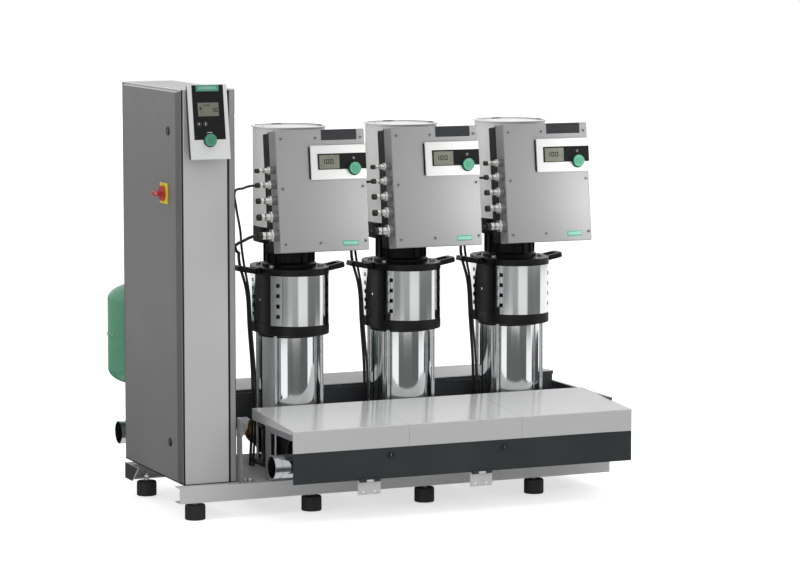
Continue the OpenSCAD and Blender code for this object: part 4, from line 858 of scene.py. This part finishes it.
disc = moved(spun([(0, 8.3), (25, 8.3), (25, 13), (23, 16.3), (0, 16.3)], switchRed, steps=56), toDoor)
grip = block((-38.3, -25, -7), (-15, 25, 7), switchRed, 3.2, 3)
mark = block((-38.6, -24, -1), (-37.8, -12, 1), bezelWhite)
shaft = barrel("x", 5, (-9, 0, 0), 26, zincSteel, sides=24)
finished([disc, grip, mark, shaft], "mainSwitchKnob", "switch_red", "main_switch_knob", body="main_switch",
         place=switchPlace)
print("cabinet done")

# operating panel
hmiSet = {"place": (79.5, -268, 1270), "lean": 8.9, "wide": 132, "high": 237, "thick": 6, "knobZ": -58}
hmiPlace = slid(*hmiSet["place"]) @ rotated(-hmiSet["lean"], "X")
halfWide, halfHigh, knobZ = hmiSet["wide"] / 2, hmiSet["high"] / 2, hmiSet["knobZ"]
face = [block((-halfWide, 0, -halfHigh), (halfWide, hmiSet["thick"], halfHigh), panelSilver, 1.8, 3),
        block((-52, -0.35, -56), (53, 1, 117), stripBlack, 0.2),
        block((-38, -1.1, 97), (38, 0, 117), badgeGreen, 0.3),
        block((-29, -1.3, 103), (29, -0.5, 112), badgePale, 0.2),
        block((-35, -1.0, 18), (34.5, 0, 61), lcdGlass, 0.2)]
for x, z, wide, high in ((-29, 38, 6, 9), (-16, 51, 4, 4), (-8, 51, 4, 4), (0, 51, 4, 4)):
    face.append(block((x, -1.25, z), (x + wide, -0.8, z + high), lcdInk))
face += numberBars("10", 9, 31, 0.85, -1.25)
face += [barrel("y", 8.5, (-34, -1.0, -6), 0.9, windowDark, sides=32),
         barrel("y", 3.2, (-34, -1.3, -6), 0.9, iconPaint, sides=3),
         barrel("y", 8.5, (-12, -1.0, -6), 0.9, windowDark, sides=32),
         block((-13, -1.3, -10), (-11, -0.6, -2), iconPaint)]
for low, high in (((-3, 9.4), (52, 10)), ((-3, -20), (52, -19.4)), ((-48, -47), (-42, -43))):
    face.append(block((low[0], -0.6, low[1]), (high[0], -0.1, high[1]), windowDark))
arc = spun([(24, 0.2), (26, 0.2), (26, 0.7), (24, 0.7)], iconPaint, steps=72)
moved(arc, slid(0, 0, knobZ) @ rotated(90, "X"))
for low, high in (((-40, -5, -100), (40, 5, -40)), ((-40, -5, -45), (-9, 5, 0)), ((9, -5, -45), (40, 5, 0))):
    carved(arc, block(low, high, iconPaint))
face += [arc, barrel("y", 22, (0, -0.45, knobZ), 0.8, plasticBlack, sides=56, bevel=0.2)]
finished(face, "hmiPanel", "hmi_silver", "hmi_panel", place=hmiPlace)
hood = block((-halfWide + 2, hmiSet["thick"], -halfHigh + 2), (halfWide - 2, 28, halfHigh - 2), plasticBlack,
             3, 3)
carved(hood, block((-9, 0, knobZ - 9), (9, 40, knobZ + 9), plasticBlack))
stem = block((-41, 27, -93.5), (41, 108, 93.5), plasticBlack, 3, 3)
for piece in (hood, stem):  # cut off at the cabinet's front
    carved(moved(piece, hmiPlace), block((-50, cabinetFront, 1000), (250, 200, 1600), plasticBlack))
finished([hood, stem], "hmiHousing", "black_plastic", "hmi_housing")
knob = copied(masterKnob, hmiPlace @ slid(0, 7, knobZ))
finished([knob], "hmiKnob", "knob_green", "hmi_knob", body="panel_knob")
bpy.data.objects.remove(masterKnob)
print("operating panel done")

# vessel
vesselSet = {"place": (89, 468), "low": 340.6, "high": 685.6, "radius": 103, "dome": 55,
             "bead": 2.5, "bow": 82}
radius, dome, low, high = (vesselSet[key] for key in ("radius", "dome", "low", "high"))
middle, bead = (low + high) / 2, radius + vesselSet["bead"]
bows = [vesselSet["bow"] * k / 12 for k in range(13)]
lower = [math.radians(bow - vesselSet["bow"]) for bow in bows]
upper = [math.radians(bow) for bow in bows]
profile = [(0, low + 0.3)] + [(radius * math.cos(t), low + dome + dome * math.sin(t)) for t in lower]
profile += [(radius, middle - 6), (bead, middle - 4), (bead, middle + 4), (radius, middle + 6)]
profile += [(radius * math.cos(t), high - dome + dome * math.sin(t)) for t in upper]
profile += [(12, high - 0.5), (0, high)]
vessel = spun(profile, vesselGreen, vesselSet["place"], 96)
finished([vessel], "membraneVessel", "vessel_green", "membrane_vessel", smooth=40)
print("vessel done")

# bolts on the bracket beside the cabinet
bolts = [hexagon("z", 15, (x, -246, 113), 9, zincSteel) for x in (201, 220)]
bolts += [hexagon("y", 14, (x, -240, z), 9, zincSteel) for x, z in ((205, 298), (192, 262))]
finished(bolts, "bracketBolts", "bright_steel")

# CAD nodes that keep their shape get a real finish
kept = {
    "base_rear_rail": railCoat, "base_cross_members": railCoat, "flap_hinge_brackets": railCoat,
    "cover_supports": bracketZinc, "skirt_panels": skirtCoat, "switchgear_plate": wiringGrey,
    "suction_manifold": pipeSteel, "discharge_manifold": pipeSteel, "valve_bodies": brassBody,
    "vessel_fitting": brassBody, "diffuser_stacks": drawnSteel, "motor_bearings": drawnSteel,
    "hmi_spindle": zincSteel,
}
for k in "123":
    kept["suction_valve_lever_" + k] = leverRed
    kept["discharge_valve_lever_" + k] = leverRed
    kept["pump_rotor_" + k] = drawnSteel
    kept["converter_spindle_" + k] = zincSteel
for name, material in kept.items():
    wear(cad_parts[name], material)

# floor, light and background
bpy.ops.object.select_all(action="DESELECT")
bpy.ops.mesh.primitive_plane_add(size=40, location=(0, 0, -0.0005))
floor = bpy.context.object
floor.name = "studioFloor"
floorPaint = bpy.data.materials.new("floorWhite")
floorPaint.use_nodes = True
tree = floorPaint.node_tree
shader = tree.nodes["Principled BSDF"]
shader.inputs["Base Color"].default_value = (0.8, 0.8, 0.8, 1)
shader.inputs["Roughness"].default_value = 0.9
path = addNode(tree, "ShaderNodeLightPath")
shader.inputs["Emission Color"].default_value = (1, 1, 1, 1)
seen = addNode(tree, "ShaderNodeMath", {"operation": "MULTIPLY"}, {1: 0.62},
               {0: path.outputs["Is Camera Ray"]})
tree.links.new(seen.outputs["Value"], shader.inputs["Emission Strength"])
floor.data.materials.append(floorPaint)
floor.visible_glossy = False  # the polished tubes reflect the studio's cards, not the floor

# reflector cards round the studio, seen only in reflections: degrees, 0 towards the camera, plus to its right
cardSet = {"radius": 8.0, "level": 1.25, "rows": [
    (-7.0, -0.455, [(-180, "#2e2e2e"), (-46, "#333333"), (-37, "#f8f8f8"), (-9, "#f8f8f8"), (-6, "#606060"),
                    (71, "#5c5c5c"), (74, "#f8f8f8"), (98, "#f8f8f8"), (101, "#3c3c3c"), (112, "#3c3c3c"),
                    (116, "#777777"), (124, "#444444"), (180, "#383838")]),
    (-0.455, -0.05, [(-180, "#f0f0f0"), (-101, "#f0f0f0"), (-98, "#b8b8b8"), (-48, "#b0b0b0"),
                     (-40, "#7c7c7c"), (-26, "#7c7c7c"), (-18, "#a0a0a0"), (8, "#a0a0a0"), (14, "#e4e4e4"),
                     (40, "#e0e0e0"), (46, "#707070"), (92, "#6c6c6c"), (96, "#f8f8f8"), (165, "#f8f8f8"),
                     (170, "#909090"), (180, "#909090")]),
    (-0.05, 0.9, [(-180, "#464646"), (-101, "#464646"), (-98, "#a0a0a0"), (180, "#a0a0a0")])]}
cardPaint = bpy.data.materials.new("cardGrey")
cardPaint.use_nodes = True
tree = cardPaint.node_tree
shade = addNode(tree, "ShaderNodeAttribute", {"attribute_name": "shade"})
glow = addNode(tree, "ShaderNodeEmission", values={"Strength": cardSet["level"]},
               links={"Color": shade.outputs["Color"]})
tree.links.new(glow.outputs["Emission"], tree.nodes["Material Output"].inputs["Surface"])
towards = math.radians(cameraSet["right"])
for row, (low, high, stops) in enumerate(cardSet["rows"]):
    ring = []
    for (first, dark), (last, light) in zip(stops, stops[1:]):
        steps = max(1, int((last - first) / 4))
        for i in range(steps):
            share = i / steps
            mix = [p + (q - p) * share for p, q in zip(linear(dark), linear(light))]
            ring.append((math.radians(first + (last - first) * share), mix))
    rim = [(math.sin(t) * math.cos(towards) - math.cos(t) * math.sin(towards),
            -math.cos(t) * math.cos(towards) - math.sin(t) * math.sin(towards)) for t, mix in ring]
    count = len(ring)
    mesh = bpy.data.meshes.new("card")
    corners = [(x * cardSet["radius"], y * cardSet["radius"], z) for z in (low, high) for x, y in rim]
    mesh.from_pydata(corners, [],
                     [(i, (i + 1) % count, count + (i + 1) % count, count + i) for i in range(count)])
    layer = mesh.color_attributes.new("shade", "FLOAT_COLOR", "POINT")
    for i, (t, mix) in enumerate(ring + ring):
        layer.data[i].color = mix
    card = bpy.data.objects.new("reflectorCard%d" % (row + 1), mesh)
    bpy.context.scene.collection.objects.link(card)
    card.data.materials.append(cardPaint)
    card.visible_camera = card.visible_diffuse = card.visible_shadow = card.visible_transmission = False

world = bpy.data.worlds.new("studio")
bpy.context.scene.world = world
world.use_nodes = True
tree = world.node_tree
path = addNode(tree, "ShaderNodeLightPath")
direct = addNode(tree, "ShaderNodeMath", {"operation": "MAXIMUM"}, {},
                 {0: path.outputs["Is Camera Ray"], 1: path.outputs["Is Transmission Ray"]})
mirror = addNode(tree, "ShaderNodeMath", {"operation": "MAXIMUM"}, {},
                 {0: direct.outputs["Value"], 1: path.outputs["Is Glossy Ray"]})
level = addNode(tree, "ShaderNodeMapRange", values={"To Min": 0.74, "To Max": 1.0},
                links={"Value": mirror.outputs["Value"]})
tree.links.new(level.outputs["Result"], tree.nodes["Background"].inputs["Strength"])
tree.nodes["Background"].inputs["Color"].default_value = (1, 1, 1, 1)

# each lamp: name, place, aim, width, height and power
lamps = [("key", (3.6, -4.6, 3.4), (0.2, 0, 0.7), 2.6, 2.2, 15),
         ("top", (0.9, -0.5, 4.6), (0.2, 0.1, 0.3), 3.2, 2.6, 50),
         ("left", (-6.0, -1.6, 0.15), (-0.2, 0, 0.3), 2.6, 1.2, 40),
         ("low", (-1.4, -6.0, 0.5), (0.2, 0, 0.25), 2.6, 0.8, 4)]
# narrow strips beside each converter: one turned to its face, one to its left side and the motor
stripSet = {"up": 1050, "wide": 0.06, "high": 0.38, "facePower": (0.86, 1.15, 1.55), "sidePower": 0.08}
for axisX, facePower in zip(pumpX, stripSet["facePower"]):
    for side, x, y, power in ((-1, 240, -443, facePower), (1, -235, -100, stripSet["sidePower"])):
        beside = spot(axisX + x, y, stripSet["up"])
        aim = beside + Vector((side, 0, 0))
        lamps.append(("strip%d" % len(lamps), beside, aim, stripSet["wide"], stripSet["high"], power))
for name, place, aim, wide, high, power in lamps:
    light = bpy.data.lights.new(name, "AREA")
    light.shape = "RECTANGLE"
    light.size, light.size_y, light.energy = wide, high, power
    lamp = bpy.data.objects.new(name, light)
    bpy.context.scene.collection.objects.link(lamp)
    lamp.location = place
    lamp.rotation_euler = (Vector(aim) - Vector(place)).to_track_quat("-Z", "Y").to_euler()
    lamp.visible_camera = lamp.visible_glossy = False
print("studio ready")
